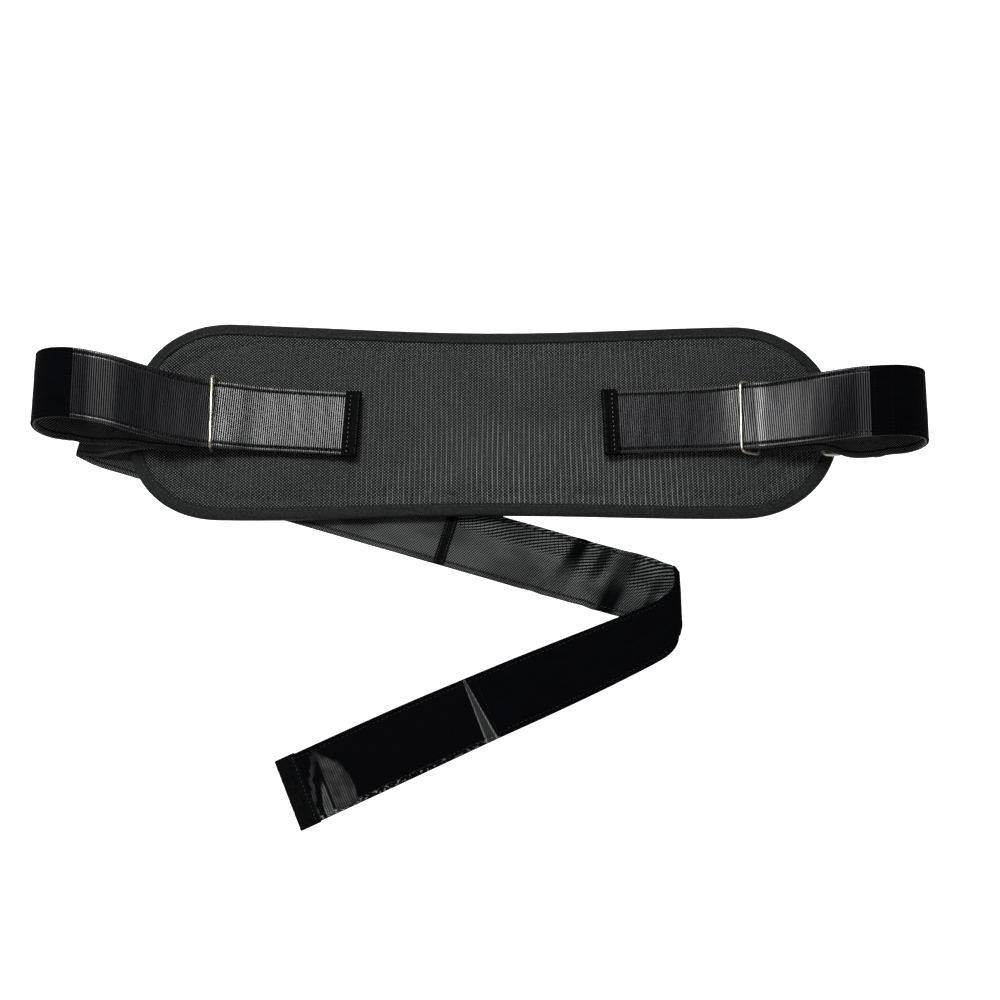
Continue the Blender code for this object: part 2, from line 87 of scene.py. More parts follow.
HAND_WIDTH = 52.4 * MM
STRAP_WIDTH = 50.0 * MM
EDGE_STITCH = 3.6 * MM
HAND_LINE = HAND_WIDTH / 2.0 - EDGE_STITCH
STRAP_LINE = STRAP_WIDTH / 2.0 - EDGE_STITCH
RIB_PITCH = 1.65 * MM

FAR_REACH = math.dist(joints["closure_swing"]["pos_m"], joints["closure_fold"]["pos_m"])
OUTER_LENGTH = 318.5 * MM
HOOK_LENGTH = 132.0 * MM
END_BINDING_LENGTH = 14.0 * MM
HOOK_SEAM = FAR_REACH + OUTER_LENGTH - END_BINDING_LENGTH - HOOK_LENGTH

# Slanted crumples near the far fold: distance from it, half width, depth, and how much shade is painted
# into each valley at the strap's lower and at its upper edge
CRUMPLE_SLANT = 0.55
CRUMPLES = (
    (19.0 * MM, 2.4 * MM, 0.5 * MM, 0.90, 0.25), (47.0 * MM, 5.0 * MM, 1.5 * MM, 1.0, 0.55),
    (66.0 * MM, 2.6 * MM, 0.4 * MM, 0.10, 0.85), (86.0 * MM, 4.2 * MM, 1.2 * MM, 0.35, 1.0),
)


# ---- Materials ----

HOLE_PITCH = 2.7 * MM
HOLE_DROP = 2.3 * MM
RIB_GAP = 2.0 * MM
TWILL_PITCH = 2.1 * MM
PLAIN_PITCH = 0.75 * MM
# Placing of the hook tape's painted highlight patch: its middle and half length along the strap, and its base
# and height across it
PATCH_MIDDLE = 117.0 * MM
PATCH_HALF = 17.0 * MM
PATCH_BASE = 27.0 * MM
PATCH_HEIGHT = 46.0 * MM
MATERIALS = {}


def feed(socket, value):
    """Link a Value to an input, or set the input to a number or a colour."""
    if isinstance(value, Value):
        socket.id_data.links.new(value.socket, socket)
    elif isinstance(value, tuple):
        socket.default_value = (*value, 1.0)
    else:
        socket.default_value = value


class Value:
    """A number or colour that a material works out at each point of the cloth."""

    def __init__(self, socket):
        self.socket = socket

    def node(self, kind, inputs, **settings):
        node = self.socket.id_data.nodes.new(kind)
        for name, setting in settings.items():
            setattr(node, name, setting)
        for place, value in inputs.items():
            feed(node.inputs[place], value)
        return node

    def math(self, operation, *others):
        inputs = dict(enumerate((self, *others)))
        return Value(self.node("ShaderNodeMath", inputs, operation=operation).outputs[0])

    def __add__(self, other):
        return self.math("ADD", other)

    def __sub__(self, other):
        return self.math("SUBTRACT", other)

    def __rsub__(self, other):
        return self * -1.0 + other

    def __mul__(self, other):
        return self.math("MULTIPLY", other)

    def __truediv__(self, other):
        return self.math("DIVIDE", other)

    def __abs__(self):
        return self.math("ABSOLUTE")

    def most(self, other):
        return self.math("MAXIMUM", other)

    def wave(self, pitch, phase=0.0):
        """A sine of the value, from 0 to 1, repeating each pitch."""
        return (self * (2.0 * math.pi / pitch) + phase).math("SINE") * 0.5 + 0.5

    def step(self, low, high, start=0.0, end=1.0):
        """From start at low to end at high, smooth between them and level outside."""
        inputs = dict(enumerate((self, low, high, start, end)))
        node = self.node("ShaderNodeMapRange", inputs, interpolation_type="SMOOTHSTEP")
        return Value(node.outputs[0])

    def mix(self, a, b):
        """Colour a where the value is 0 and colour b where it is 1."""
        return Value(self.node("ShaderNodeMix", {0: self, 6: a, 7: b}, data_type="RGBA").outputs[2])


class Cloth:
    """A material whose colour, roughness and relief come from the weave map."""

    def __init__(self, name):
        self.material = bpy.data.materials.new(name)
        self.material.use_nodes = True
        self.tree = self.material.node_tree
        uv = self.tree.nodes.new("ShaderNodeUVMap")
        uv.uv_map = "weave"
        place = Value(uv.outputs[0])
        split = place.node("ShaderNodeSeparateXYZ", {0: place})
        self.u, self.v = Value(split.outputs[0]), Value(split.outputs[1])
        MATERIALS[name] = self.material

    def noise(self, across_u, across_v, detail=2.0):
        """Noise from 0 to 1 whose features are this long along u and v."""
        spot = {0: self.u * (1.0 / across_u), 1: self.v * (1.0 / across_v)}
        vector = Value(self.u.node("ShaderNodeCombineXYZ", spot).outputs[0])
        inputs = {"Scale": 1.0, "Detail": detail, "Vector": vector}
        return Value(self.u.node("ShaderNodeTexNoise", inputs).outputs[0])

    def finish(self, colour, roughness, height, relief, **settings):
        shader = self.tree.nodes["Principled BSDF"]
        bump = self.u.node("ShaderNodeBump", {"Distance": relief, "Height": height})
        feed(shader.inputs["Base Color"], colour)
        feed(shader.inputs["Roughness"], roughness)
        feed(shader.inputs["Normal"], Value(bump.outputs[0]))
        for name, value in settings.items():
            feed(shader.inputs[name.replace("_", " ").title().replace("Ior", "IOR")], value)


def mesh_cloth():
    """Charcoal knitted mesh: staggered dark holes in a net, with brighter ribs running across the panel."""
    cloth = Cloth("mesh_cloth")
    u, v = cloth.u, cloth.v
    rise = u * (HOLE_DROP / HOLE_PITCH)
    net = (rise + v).wave(HOLE_DROP, math.pi / 2.0) + (rise - v).wave(HOLE_DROP, math.pi / 2.0)
    hole = net.step(0.52, 0.80)
    wander = u + cloth.noise(40.0 * MM, 90.0 * MM, 1.0) * (3.0 * MM)
    ridge = wander.wave(RIB_GAP) * 0.62 + wander.wave(2.0 * RIB_GAP, 0.4) * 0.38
    patchy = cloth.noise(2.4 * MM, 18.0 * MM, 1.0).step(0.35, 0.65, 0.55, 1.0)
    area = cloth.noise(90.0 * MM, 60.0 * MM, 1.0).step(0.30, 0.55, 0.45, 1.0)
    lower = v.step(50.0 * MM, -60.0 * MM, 0.55, 1.0)
    rightward = u.step(-170.0 * MM, 20.0 * MM, 0.25, 1.0)
    ending = u.step(120.0 * MM, 200.0 * MM, 1.0, 0.45)
    rib = ridge.step(0.45, 0.90) * patchy * lower * rightward * ending * area
    speck = cloth.noise(1.1 * MM, 1.1 * MM).step(0.3, 0.75)
    ground = speck.mix((0.064, 0.067, 0.066), (0.200, 0.209, 0.207))
    threads = rib.mix(ground, (0.315, 0.330, 0.327))
    dark = hole * (rib * -0.35 + 0.98)
    colour = dark.mix(threads, (0.0008, 0.0010, 0.0012))
    gloss = dark.step(0.0, 1.0, 0.20, 0.0)
    cloth.finish(colour, 0.70, rib * 0.8 - hole, 0.35 * MM, specular_ior_level=gloss)


def binding_tape(name, dark, light, gloss):
    """Woven tape with a fine plain weave and uneven threads."""
    cloth = Cloth(name)
    weave = cloth.u.wave(PLAIN_PITCH) * cloth.v.wave(PLAIN_PITCH)
    slubs = cloth.noise(1.9 * MM, 1.1 * MM).step(0.30, 0.70, 0.40, 1.0)
    share = slubs * (weave * cloth.noise(9.0 * MM, 3.0 * MM) * 1.2 + 0.25)
    shine = share.step(0.0, 1.0, 0.15 * gloss, 1.8 * gloss)
    cloth.finish(share.mix(dark, light), 0.58, weave, 0.16 * MM, specular_ior_level=shine)


def ribbed_tape():
    """Glossy tape whose ribs are modelled. Light is painted into its colour: the rib crests carry a painted
    highlight, in patches and strongest next to the ring and at the loop's turn, and the valleys are painted
    black as shade."""
    cloth = Cloth("ribbed_tape")
    u, v = cloth.u, cloth.v
    top = u.wave(RIB_PITCH, -math.pi / 2.0).step(0.40, 0.92)
    from_line = abs(v) - HAND_LINE
    seam = abs(from_line).step(0.25 * MM, 0.9 * MM)
    # Patches of painted highlight on the rib crests
    blotches = cloth.noise(11.0 * MM, 60.0 * MM, 1.0).step(0.36, 0.64)
    # Painted highlight next to the ring, weaker on the loop's side, and another at the loop's turn
    painted_glint = abs(u).step(36.0 * MM, 2.0 * MM, 0.0, 0.8) * u.step(-12.0 * MM, -2.0 * MM, 0.25, 1.0)
    turn_highlight = u.step(-70.0 * MM, -80.0 * MM) * u.step(-100.0 * MM, -90.0 * MM)
    painted_sheen = (blotches * 0.24).most(painted_glint * blotches.step(0.0, 1.0, 0.55, 1.0)).most(turn_highlight)
    beads = (v + u * 0.35).wave(1.6 * MM)
    bright = top * beads.step(0.0, 0.8, 0.78, 1.0)
    # The crest colour, from dull to lit by the painted highlight
    shade = painted_sheen.mix((0.009, 0.010, 0.013), (0.062, 0.063, 0.066))
    # Painted highlight on the selvedge strips next to the ring, brighter towards the upper edge
    selvedge_highlight = from_line.step(0.3 * MM, 0.9 * MM) * u.step(-16.0 * MM, -5.0 * MM)
    selvedge_highlight = selvedge_highlight * v.step(-10.0 * MM, 10.0 * MM, 0.15, 0.62)
    shade = selvedge_highlight.mix(shade, (0.150, 0.152, 0.150))
    # The rib valleys are painted near black as shade
    colour = (bright * seam).mix((0.0006, 0.0007, 0.0010), shade)
    rough = top.step(0.0, 1.0, 0.50, 0.24)
    gloss = top * seam * painted_sheen.step(0.0, 1.0, 0.38, 1.0)
    cloth.finish(colour, rough, beads, 0.018 * MM, specular_ior_level=gloss)


def velvet_tape():
    """Black loop pile that drinks the light, with a faint lie of the nap."""
    cloth = Cloth("velvet_tape")
    loops = cloth.noise(0.45 * MM, 0.45 * MM, 3.0)
    share = cloth.noise(24.0 * MM, 5.0 * MM) * loops
    colour = share.mix((0.0006, 0.0007, 0.0012), (0.0034, 0.0037, 0.0054))
    cloth.finish(colour, 0.90, loops, 0.35 * MM, specular_ior_level=0.03, sheen_weight=0.012,
                 sheen_roughness=0.35)


def webbing(name, pulled):
    """Charcoal twill webbing: pale diagonal yarns over a dark ground make small diamonds. Where the cloth is
    pulled near the far fold, the weft shows as streaks, and shade is painted into the crumples' valleys."""
    cloth = Cloth(name)
    u, v = cloth.u, cloth.v
    yarn = (u + v).wave(TWILL_PITCH) * 0.62 + (u - v).wave(TWILL_PITCH) * 0.38
    blotches = cloth.noise(46.0 * MM, 20.0 * MM, 1.0).step(0.34, 0.60, 0.55, 1.0)
    if pulled:
        from_fold = FAR_REACH - u
        slanted = v * CRUMPLE_SLANT + from_fold
        first = slanted.step(0.0, 18.0 * MM) * slanted.step(50.0 * MM, 36.0 * MM)
        second = slanted.step(54.0 * MM, 66.0 * MM) * slanted.step(96.0 * MM, 78.0 * MM)
        third = from_fold.step(62.0 * MM, 80.0 * MM) * from_fold.step(178.0 * MM, 168.0 * MM)
        zone = first.most(second) * v.step(-14.0 * MM, 12.0 * MM)
        zone = zone.most(third * v.step(0.0, 13.0 * MM, 0.0, 0.85))
        arc = cloth.noise(60.0 * MM, 30.0 * MM, 1.0) * (5.0 * MM)
        streak = (from_fold * 0.37 + v + arc).wave(2.3 * MM)
        yarn = yarn * zone.step(0.0, 1.0, 1.0, 0.35) + streak * zone * 0.65
        # Shade painted into each crumple's valley, its strength running from the lower to the upper edge as
        # listed
        for middle, half, _, low_dark, high_dark in CRUMPLES:
            dip = abs(slanted - middle).step(2.2 * half, 0.7 * half)
            blotches = blotches * (1.0 - dip * v.step(-14.0 * MM, 14.0 * MM, low_dark, high_dark))
    from_line = abs(abs(v) - STRAP_LINE)
    light = yarn.step(0.50, 0.80) * blotches * from_line.step(0.3 * MM, 1.2 * MM, 0.15, 1.0)
    colour = light.mix((0.0014, 0.0017, 0.0021), (0.150, 0.158, 0.153))
    gloss = light.step(0.0, 1.0, 0.01, 0.42)
    cloth.finish(colour, 0.46, yarn, 0.30 * MM, specular_ior_level=gloss)


def hook_tape():
    """Black hook tape: rows of small stiff hooks. A painted highlight of the hooks' sheen lies in a patch
    near the bound end and in flecks along its lower edge, and a pale glossy band slants across its seam."""
    cloth = Cloth("hook_tape")
    u, v = cloth.u, cloth.v
    hooks = (u.wave(1.6 * MM) * v.wave(1.1 * MM)).step(0.30, 0.75)
    from_seam = u - HOOK_SEAM
    # A pale glossy band of fine lines slanting across the hook seam
    down = STRAP_WIDTH / 2.0 - v
    share = (down * 0.11 + from_seam) / (down * 0.17 + 1.5 * MM)
    edges = abs(share * 2.0 - 1.0).step(0.5, 0.92, 0.14, 0.9)
    lines = (u + v * 0.3).wave(1.5 * MM).step(0.0, 1.0, 0.45, 0.8)
    band = share.step(0.0, 0.10) * share.step(1.0, 0.88) * edges * lines
    # A patch of painted highlight, the hooks' sheen, near the bound end: a ragged rim, a limb and a core
    middle = (from_seam - PATCH_MIDDLE) / PATCH_HALF
    height = (v + PATCH_BASE) / PATCH_HEIGHT
    ragged = (cloth.noise(9.0 * MM, 16.0 * MM, 3.0) - 0.5) * 0.5
    radius = (middle * middle + height * height).math("SQRT") + ragged
    rim = radius.step(0.80, 0.88) * radius.step(1.0, 0.93)
    limb = middle.step(0.14, 0.02) * radius.step(1.0, 0.90)
    core = radius.step(0.64, 0.54) * middle.step(0.16, 0.22)
    cloudy = cloth.noise(9.0 * MM, 14.0 * MM, 1.0).step(0.36, 0.60, 0.45, 1.0)
    patch = ((rim * 0.6).most(limb) * 0.45).most(core) * cloudy
    patch = patch * v.step(-25.0 * MM, -21.0 * MM, 0.4, 1.0) * hooks.step(0.0, 1.0, 0.18, 1.0)
    # Flecks of painted highlight along the lower edge
    specks = cloth.noise(2.6 * MM, 1.8 * MM).step(0.54, 0.68)
    painted_glint = v.step(-20.5 * MM, -23.5 * MM) * specks * from_seam.step(12.0 * MM, 70.0 * MM, 0.4, 1.0)
    shine = patch.most(painted_glint * 0.8).most(band)
    base = hooks.mix((0.0007, 0.0008, 0.0012), (0.0042, 0.0046, 0.0056))
    # Painted highlight colour for the patch and the flecks; the band takes the same pale colour
    colour = shine.mix(base, (0.270, 0.276, 0.279))
    rough = shine.step(0.0, 1.0, 0.80, 0.34)
    gloss = shine.step(0.0, 0.6, 0.03, 0.50)
    cloth.finish(colour, rough, hooks, 0.40 * MM, specular_ior_level=gloss)


def lining_cloth():
    """Plain back lining: a flat open weave, near black."""
    cloth = Cloth("lining_cloth")
    weave = abs(cloth.u.wave(1.2 * MM) - cloth.v.wave(1.2 * MM))
    share = weave * cloth.noise(6.0 * MM, 0.8 * MM)
    colour = share.mix((0.006, 0.006, 0.007), (0.050, 0.051, 0.054))
    cloth.finish(colour, 0.75, weave, 0.22 * MM, specular_ior_level=0.3, sheen_weight=0.02)


def thread(name, colour, gloss=0.6):
    """Sewing thread, with the twist of its plies."""
    cloth = Cloth(name)
    twist = (cloth.u + cloth.v).wave(0.5 * MM)
    shade = twist.mix(tuple(0.55 * c for c in colour), colour)
    cloth.finish(shade, 0.40, twist, 0.06 * MM, specular_ior_level=gloss)


def nickel():
    """Warm nickel plate on wire, with drawing marks along it and dull spots."""
    cloth = Cloth("nickel")
    drawn = cloth.noise(8.0 * MM, 0.35 * MM, 3.0)
    spots = cloth.noise(2.4 * MM, 2.4 * MM, 3.0).step(0.35, 0.7)
    colour = spots.mix((0.60, 0.55, 0.43), (0.36, 0.32, 0.24))
    cloth.finish(colour, drawn.step(0.3, 0.75, 0.26, 0.42), drawn, 0.02 * MM, metallic=1.0)


mesh_cloth()
binding_tape("binding_tape", (0.0020, 0.0023, 0.0022), (0.044, 0.048, 0.046), 0.16)
binding_tape("end_tape", (0.0006, 0.0007, 0.0010), (0.0060, 0.0064, 0.0070), 0.07)
ribbed_tape()
velvet_tape()
webbing("webbing", False)
webbing("pulled_webbing", True)
hook_tape()
lining_cloth()
thread("thread", (0.012, 0.013, 0.013))
thread("grey_thread", (0.007, 0.008, 0.009), 0.35)
thread("dull_thread", (0.0026, 0.0028, 0.0032), 0.08)
thread("pale_thread", (0.42, 0.42, 0.40))
nickel()


# ---- Mesh building ----

SECTION_TURN = 7
GROOVE_COLUMNS = np.array((-1.3, -0.7, -0.3, 0.0, 0.3, 0.7, 1.3)) * MM
STITCH_SIDES = 6
STITCH_SHAPE = np.array(((-0.5, 0.0), (-0.42, 0.75), (-0.2, 1.0), (0.2, 1.0), (0.42, 0.75), (0.5, 0.0)))


def ease(value, low, high):
    """0 below low, 1 above high, smooth between them."""
    share = np.clip((value - low) / (high - low), 0.0, 1.0)
    return share * share * (3.0 - 2.0 * share)


def bell(value, middle, half):
    """1 at the middle, falling away on both sides."""
    return np.exp(-((value - middle) / half) ** 2)


def ripple(value, lengths, seed=0.0):
    """A gentle irregular wave from -1 to 1 made of sines of these lengths."""
    total = sum(np.sin(2.0 * math.pi * value / length + seed + 1.7 * i) for i, length in enumerate(lengths))
    return total / len(lengths)


def unit(vectors):
    return vectors / np.linalg.norm(vectors, axis=-1, keepdims=True)


def run_along(points):
    """Distance along a line of points, from 0 at its first."""
    return np.concatenate(([0.0], np.cumsum(np.linalg.norm(np.diff(points, axis=0), axis=1))))


def sampled(run, known, table):
    """The table's columns, given at the known runs, read off at other runs."""
    return np.stack([np.interp(run, known, column) for column in table.T], axis=-1)


def spaced(start, end, step):
    return np.linspace(start, end, max(int(round(abs(end - start) / step)), 2) + 1)


def smooth_curve(knots, spacing):
    """A curve through the knots, sampled about every spacing along its first two columns."""
    knots = np.array(knots, float)
    ends = np.vstack((2.0 * knots[0] - knots[1], knots, 2.0 * knots[-1] - knots[-2]))
    t = np.linspace(0.0, 1.0, 40, endpoint=False)[:, None]
    pieces = []
    for before, start, end, after in zip(ends, ends[1:], ends[2:], ends[3:]):
        square = 2.0 * before - 5.0 * start + 4.0 * end - after
        cubic = 3.0 * start - before - 3.0 * end + after
        pieces.append(0.5 * (2.0 * start + (end - before) * t + square * t ** 2 + cubic * t ** 3))
    dense = np.vstack(pieces + [knots[-1:]])
    run = run_along(dense[:, :2])
    return sampled(spaced(0.0, run[-1], spacing), run, dense)


class Piece:
    """Tubes of quads gathered into one object, each tube with its own material."""

    def __init__(self, name, bow=False):
        self.name = name
        self.grids = []
        self.bow = bow

    def grid(self, points, uv, material):
        """Add points[row, column, xyz] with uv[row, column, 2]. Each row closes on itself."""
        self.grids.append((points, uv, material))

    def build(self, slot, *nodes, body=None):
        """Make the object, which stands for the CAD nodes and rides the body."""
        verts, quads, uvs, owners, names = [], [], [], [], []
        total = 0
        for points, uv, material in self.grids:
            rows, columns = points.shape[:2]
            index = np.arange(rows * columns).reshape(rows, columns) + total
            after = np.roll(index, -1, axis=1)
            quads.append(np.stack((index[:-1], after[:-1], after[1:], index[1:]), axis=-1).reshape(-1, 4))
            if material not in names:
                names.append(material)
            owners.append(np.full(len(quads[-1]), names.index(material)))
            verts.append(points.reshape(-1, 3))
            uvs.append(uv.reshape(-1, 2))
            total += rows * columns
        verts = np.concatenate(verts)
        verts = (bowed(verts) if self.bow else verts) + PANEL
        quads = np.concatenate(quads)
        mesh = bpy.data.meshes.new(self.name)
        mesh.vertices.add(len(verts))
        mesh.vertices.foreach_set("co", verts.astype(np.float32).ravel())
        mesh.loops.add(4 * len(quads))
        mesh.loops.foreach_set("vertex_index", quads.astype(np.int32).ravel())
        mesh.polygons.add(len(quads))
        mesh.polygons.foreach_set("loop_start", np.arange(len(quads), dtype=np.int32) * 4)
        mesh.polygons.foreach_set("material_index", np.concatenate(owners).astype(np.int32))
        mesh.polygons.foreach_set("use_smooth", np.ones(len(quads), bool))
        layer = mesh.uv_layers.new(name="weave")
        layer.data.foreach_set("uv", np.concatenate(uvs)[quads.ravel()].astype(np.float32).ravel())
        mesh.update(calc_edges=True)
        for material in names:
            mesh.materials.append(MATERIALS[material])
        piece = bpy.data.objects.new(self.name, mesh)
        bpy.context.scene.collection.objects.link(piece)
        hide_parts(*nodes)
        if body:
            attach(piece, body)
        return piece


def section(width, low, high, columns):
    """A strap's cut end: (across, depth, face) going once round, face +1 on top and -1 below."""
    radius = (high - low) / 2.0
    middle = (high + low) / 2.0
    half = width / 2.0 - radius
    groove = width / 2.0 - EDGE_STITCH + GROOVE_COLUMNS
    flat = np.unique(np.round(np.concatenate((np.linspace(-half, half, columns), -groove, groove)), 6))
    turn = np.radians(np.linspace(90.0, -90.0, SECTION_TURN))[1:-1]
    level = np.ones(len(flat))
    out = half + radius * np.cos(turn)
    rise = radius * np.sin(turn)
    across = np.concatenate((flat, out, flat[::-1], -out))
    depth = np.concatenate((high * level, middle + rise, low * level, middle - rise))
    face = np.concatenate((level, 0.0 * turn, -level, 0.0 * turn))
    return across, depth, face


def strap(piece, place, runs, width, low, high, material, relief=None, columns=13, origin=0.0):
    """Add a closed strap to the piece. place(run, across, depth) gives points; relief(run, across, line)
    raises the top face, and line is its sewn line. Both ends taper shut. The weave map's u is the run past
    origin."""
    across, depth, face = section(width, low, high, columns)
    lip = 0.35 * (high - low)
    run = np.concatenate(([runs[0] - lip], runs, [runs[-1] + lip]))[:, None]
    height = np.repeat(depth[None, :], len(run), axis=0)
    if relief is not None:
        line = width / 2.0 - EDGE_STITCH
        height = height + np.where(face > 0, relief(run - origin, across[None, :], line), 0.0)
    height[[0, -1]] = (low + high) / 2.0
    wide = np.repeat(across[None, :], len(run), axis=0)
    long = np.repeat(run, len(across), axis=1)
    piece.grid(place(long, wide, height), np.stack((long - origin, wide), axis=-1), material)


def stitches(piece, place, starts, ends, depth, length, pitch, radius=0.24 * MM, material="thread"):
    """Add a row of stitches from starts to ends, each an (along, across) pair in the strap's flat cloth."""
    starts = np.array(starts, float)
    way = np.array(ends, float) - starts
    distance = np.linalg.norm(way)
    way = way / distance
    side = np.array((-way[1], way[0]))
    count = max(int(distance / pitch), 1)
    angles = 2.0 * math.pi * np.arange(STITCH_SIDES) / STITCH_SIDES
    along = STITCH_SHAPE[:, :1] * length
    bulge = STITCH_SHAPE[:, 1:] * radius
    out = bulge * np.cos(angles)
    lift = bulge * np.sin(angles) + depth
    uv = np.stack((along + 0.0 * out, out), axis=-1)
    for number in range(count):
        centre = starts + way * (number + 0.5) * distance / count
        flat = centre + along[..., None] * way + out[..., None] * side
        piece.grid(place(flat[..., 0], flat[..., 1], lift), uv, material)


def sew_edges(piece, place, start, end, *depths, line=STRAP_LINE, length=2.3 * MM, **kind):
    """Stitches along both edges, at each of the depths."""
    for across in (-line, line):
        for depth in depths:
            stitches(piece, place, (start, across), (end, across), depth, length, 3.4 * MM, **kind)


def sew_across(piece, place, run, half, depth, length=2.0 * MM, pitch=2.9 * MM, **kind):
    stitches(piece, place, (run, -half), (run, half), depth, length, pitch, **kind)


# ---- Panel ----

RIM = node_box("left_binding", "right_binding")
BINDING_PROUD = 2.1 * MM
HALF_WIDTH = RIM[1][1] - BINDING_PROUD
WAIST_DEPTH = 5.0 * MM
LEFT_END = (RIM[0][0] + BINDING_PROUD, 75.0 * MM, 2.25)
RIGHT_END = (RIM[1][0] - BINDING_PROUD, 77.0 * MM, 2.05)
OUTLINE_SPACING = 4.0 * MM
BOW_RISE = 3.2 * MM
BOW_DROP = 1.0 * MM
RIGHT_SLIM = 0.018
CORNER_RISE = 0.9 * MM
SPINE_INSET = 77.0 * MM

# Skins as (inset, height) from the rim inwards, in mm; past them the height stays level
PAD_TOP_RIM = ((5.0, 5.2), (8.5, 5.6), (12.0, 7.4))
PAD_BACK_RIM = ((5.0, 3.6), (8.5, 3.0), (12.0, 1.9))
LINING_RIM = ((6.0, 2.7), (9.0, 2.5), (12.0, 1.0), (15.0, 0.1))
LINING_THICK = 1.0 * MM
PAD_TOP = 8.6 * MM
PAD_LIMIT = 9.9 * MM
PAD_BACK = 1.35 * MM
PAD_STEPS = 15
LINING_STEPS = 9
GRIP = 9.5 * MM
SWELL_LIMIT = 5.0 * MM
SIMULATED_FRAMES = 20
PUCKER = 0.45 * MM
SOFT_STOP = 1.2 * MM

# The folded tape's outline as (inset, height), in mm
BINDING_SECTION = (
    (7.6, 6.1), (6.6, 6.75), (5.6, 6.55), (4.6, 6.6), (2.6, 7.0), (0.6, 6.95), (-1.0, 6.4),
    (-1.9, 5.3), (-2.1, 4.0), (-1.9, 2.7), (-1.0, 1.65), (0.6, 1.2), (2.6, 1.15), (4.6, 1.4),
    (6.6, 1.25), (7.6, 1.9), (7.2, 2.5), (5.0, 2.6), (1.0, 2.9), (0.2, 4.0), (1.0, 5.2),
    (5.0, 5.5), (7.2, 5.5), (7.6, 6.1),
)
BINDING_STITCH_INSET = 5.6 * MM
BINDING_STITCH_Z = 6.62 * MM


def end_points(tip, length, power):
    """Points round an end from its lower edge to its upper one."""
    angle = math.pi * (np.linspace(0.0, 1.0, 241) - 0.5)
    x = tip - math.copysign(length, tip) * (1.0 - np.abs(np.cos(angle)) ** (2.0 / power))
    y = HALF_WIDTH * np.sign(np.sin(angle)) * np.abs(np.sin(angle)) ** (2.0 / power)
    return np.stack((x, y), axis=-1)


def panel_outline(spacing):
    """Evenly spaced points round the panel, anticlockwise from its lower right, and their runs."""
    right = end_points(*RIGHT_END)
    left = end_points(*LEFT_END)
    share = np.linspace(0.0, 1.0, 201)[1:-1]
    x = right[-1, 0] + (left[-1, 0] - right[-1, 0]) * share
    upper = np.stack((x, HALF_WIDTH - WAIST_DEPTH * np.sin(math.pi * share) ** 2), axis=-1)
    lower = upper[::-1] * (1.0, -1.0)
    dense = np.vstack((right, upper, left[::-1], lower, right[:1]))
    run = run_along(dense)
    count = 2 * int(round(run[-1] / spacing / 2.0))
    even = np.linspace(0.0, run[-1], count, endpoint=False)
    return sampled(even, run, dense), even


def bowed(points):
    """The laid-out belt sags a little in the middle, and its right half is slightly narrower."""
    moved = points.copy()
    x, y = points[..., 0], points[..., 1]
    moved[..., 1] *= 1.0 - RIGHT_SLIM * ease(x, -50.0 * MM, 150.0 * MM)
    moved[..., 1] += BOW_RISE * np.minimum(np.abs(x) / RIM[1][0], 1.0) ** 2 - BOW_DROP
    moved[..., 1] += CORNER_RISE * ease(-x, 150.0 * MM, 220.0 * MM) * ease(y, 20.0 * MM, 60.0 * MM)
    return moved


def inward_normals(outline):
    ahead = np.roll(outline, -1, axis=0) - np.roll(outline, 1, axis=0)
    return unit(np.stack((-ahead[:, 1], ahead[:, 0]), axis=-1))


def panel_rows(rows):
    """Points[row, column] of a skin whose rows are (inset, height). The insets lead to the spine."""
    outline = panel_outline(OUTLINE_SPACING)[0]
    inward = inward_normals(outline)
    spine_x = np.clip(outline[:, 0], LEFT_END[0] + SPINE_INSET, RIGHT_END[0] - SPINE_INSET)
    spine = np.stack((spine_x, np.zeros(len(outline))), axis=-1)
    grid = []
    for inset, height in rows:
        share = inset / SPINE_INSET
        lean = ease(inset, 10.0 * MM, 40.0 * MM)
        flat = (outline + inward * inset) * (1.0 - lean) + (outline + (spine - outline) * share) * lean
        if share >= 1.0:
            flat = spine
        grid.append(np.column_stack((flat, np.full(len(flat), height))))
    return np.array(grid)


def skin(rim, start, level, steps):
    """A skin's rows: its rim, then level ones from start to the spine."""
    rows = [(inset * MM, height * MM) for inset, height in rim]
    return rows + [(inset, level) for inset in np.linspace(start, SPINE_INSET, steps)]


def add_group(piece, name, chosen):
    group = piece.vertex_groups.new(name=name)
    group.add([int(i) for i in np.nonzero(chosen)[0]], 1.0, "REPLACE")


def add_pad():
    """The closed pad: rim inside the binding, slopes, then faces that meet at the spine."""
    top = skin(PAD_TOP_RIM, 17.0 * MM, PAD_TOP, PAD_STEPS)
    grid = panel_rows(top[::-1] + skin(PAD_BACK_RIM, 17.0 * MM, PAD_BACK, PAD_STEPS))
    shape = Piece("panel_pad", bow=True)
    shape.grid(grid, grid[..., :2], "mesh_cloth")
    pad = shape.build("mesh_cloth", "left_cover", "right_cover", "left_foam", "right_foam")
    add_group(pad, "spine", np.abs(grid[..., 1]).ravel() < 0.01 * MM)
    weld = pad.modifiers.new("weld", "WELD")
    weld.vertex_group = "spine"
    weld.merge_threshold = 0.54 * OUTLINE_SPACING
    apply_modifier(pad, weld)
    join_weave(pad)
    swell(pad)
    pucker(pad)
    smooth = pad.modifiers.new("smooth", "SUBSURF")
    smooth.levels = 1
    smooth.render_levels = 1
    apply_modifier(pad, smooth)
    settle(pad)
    return pad


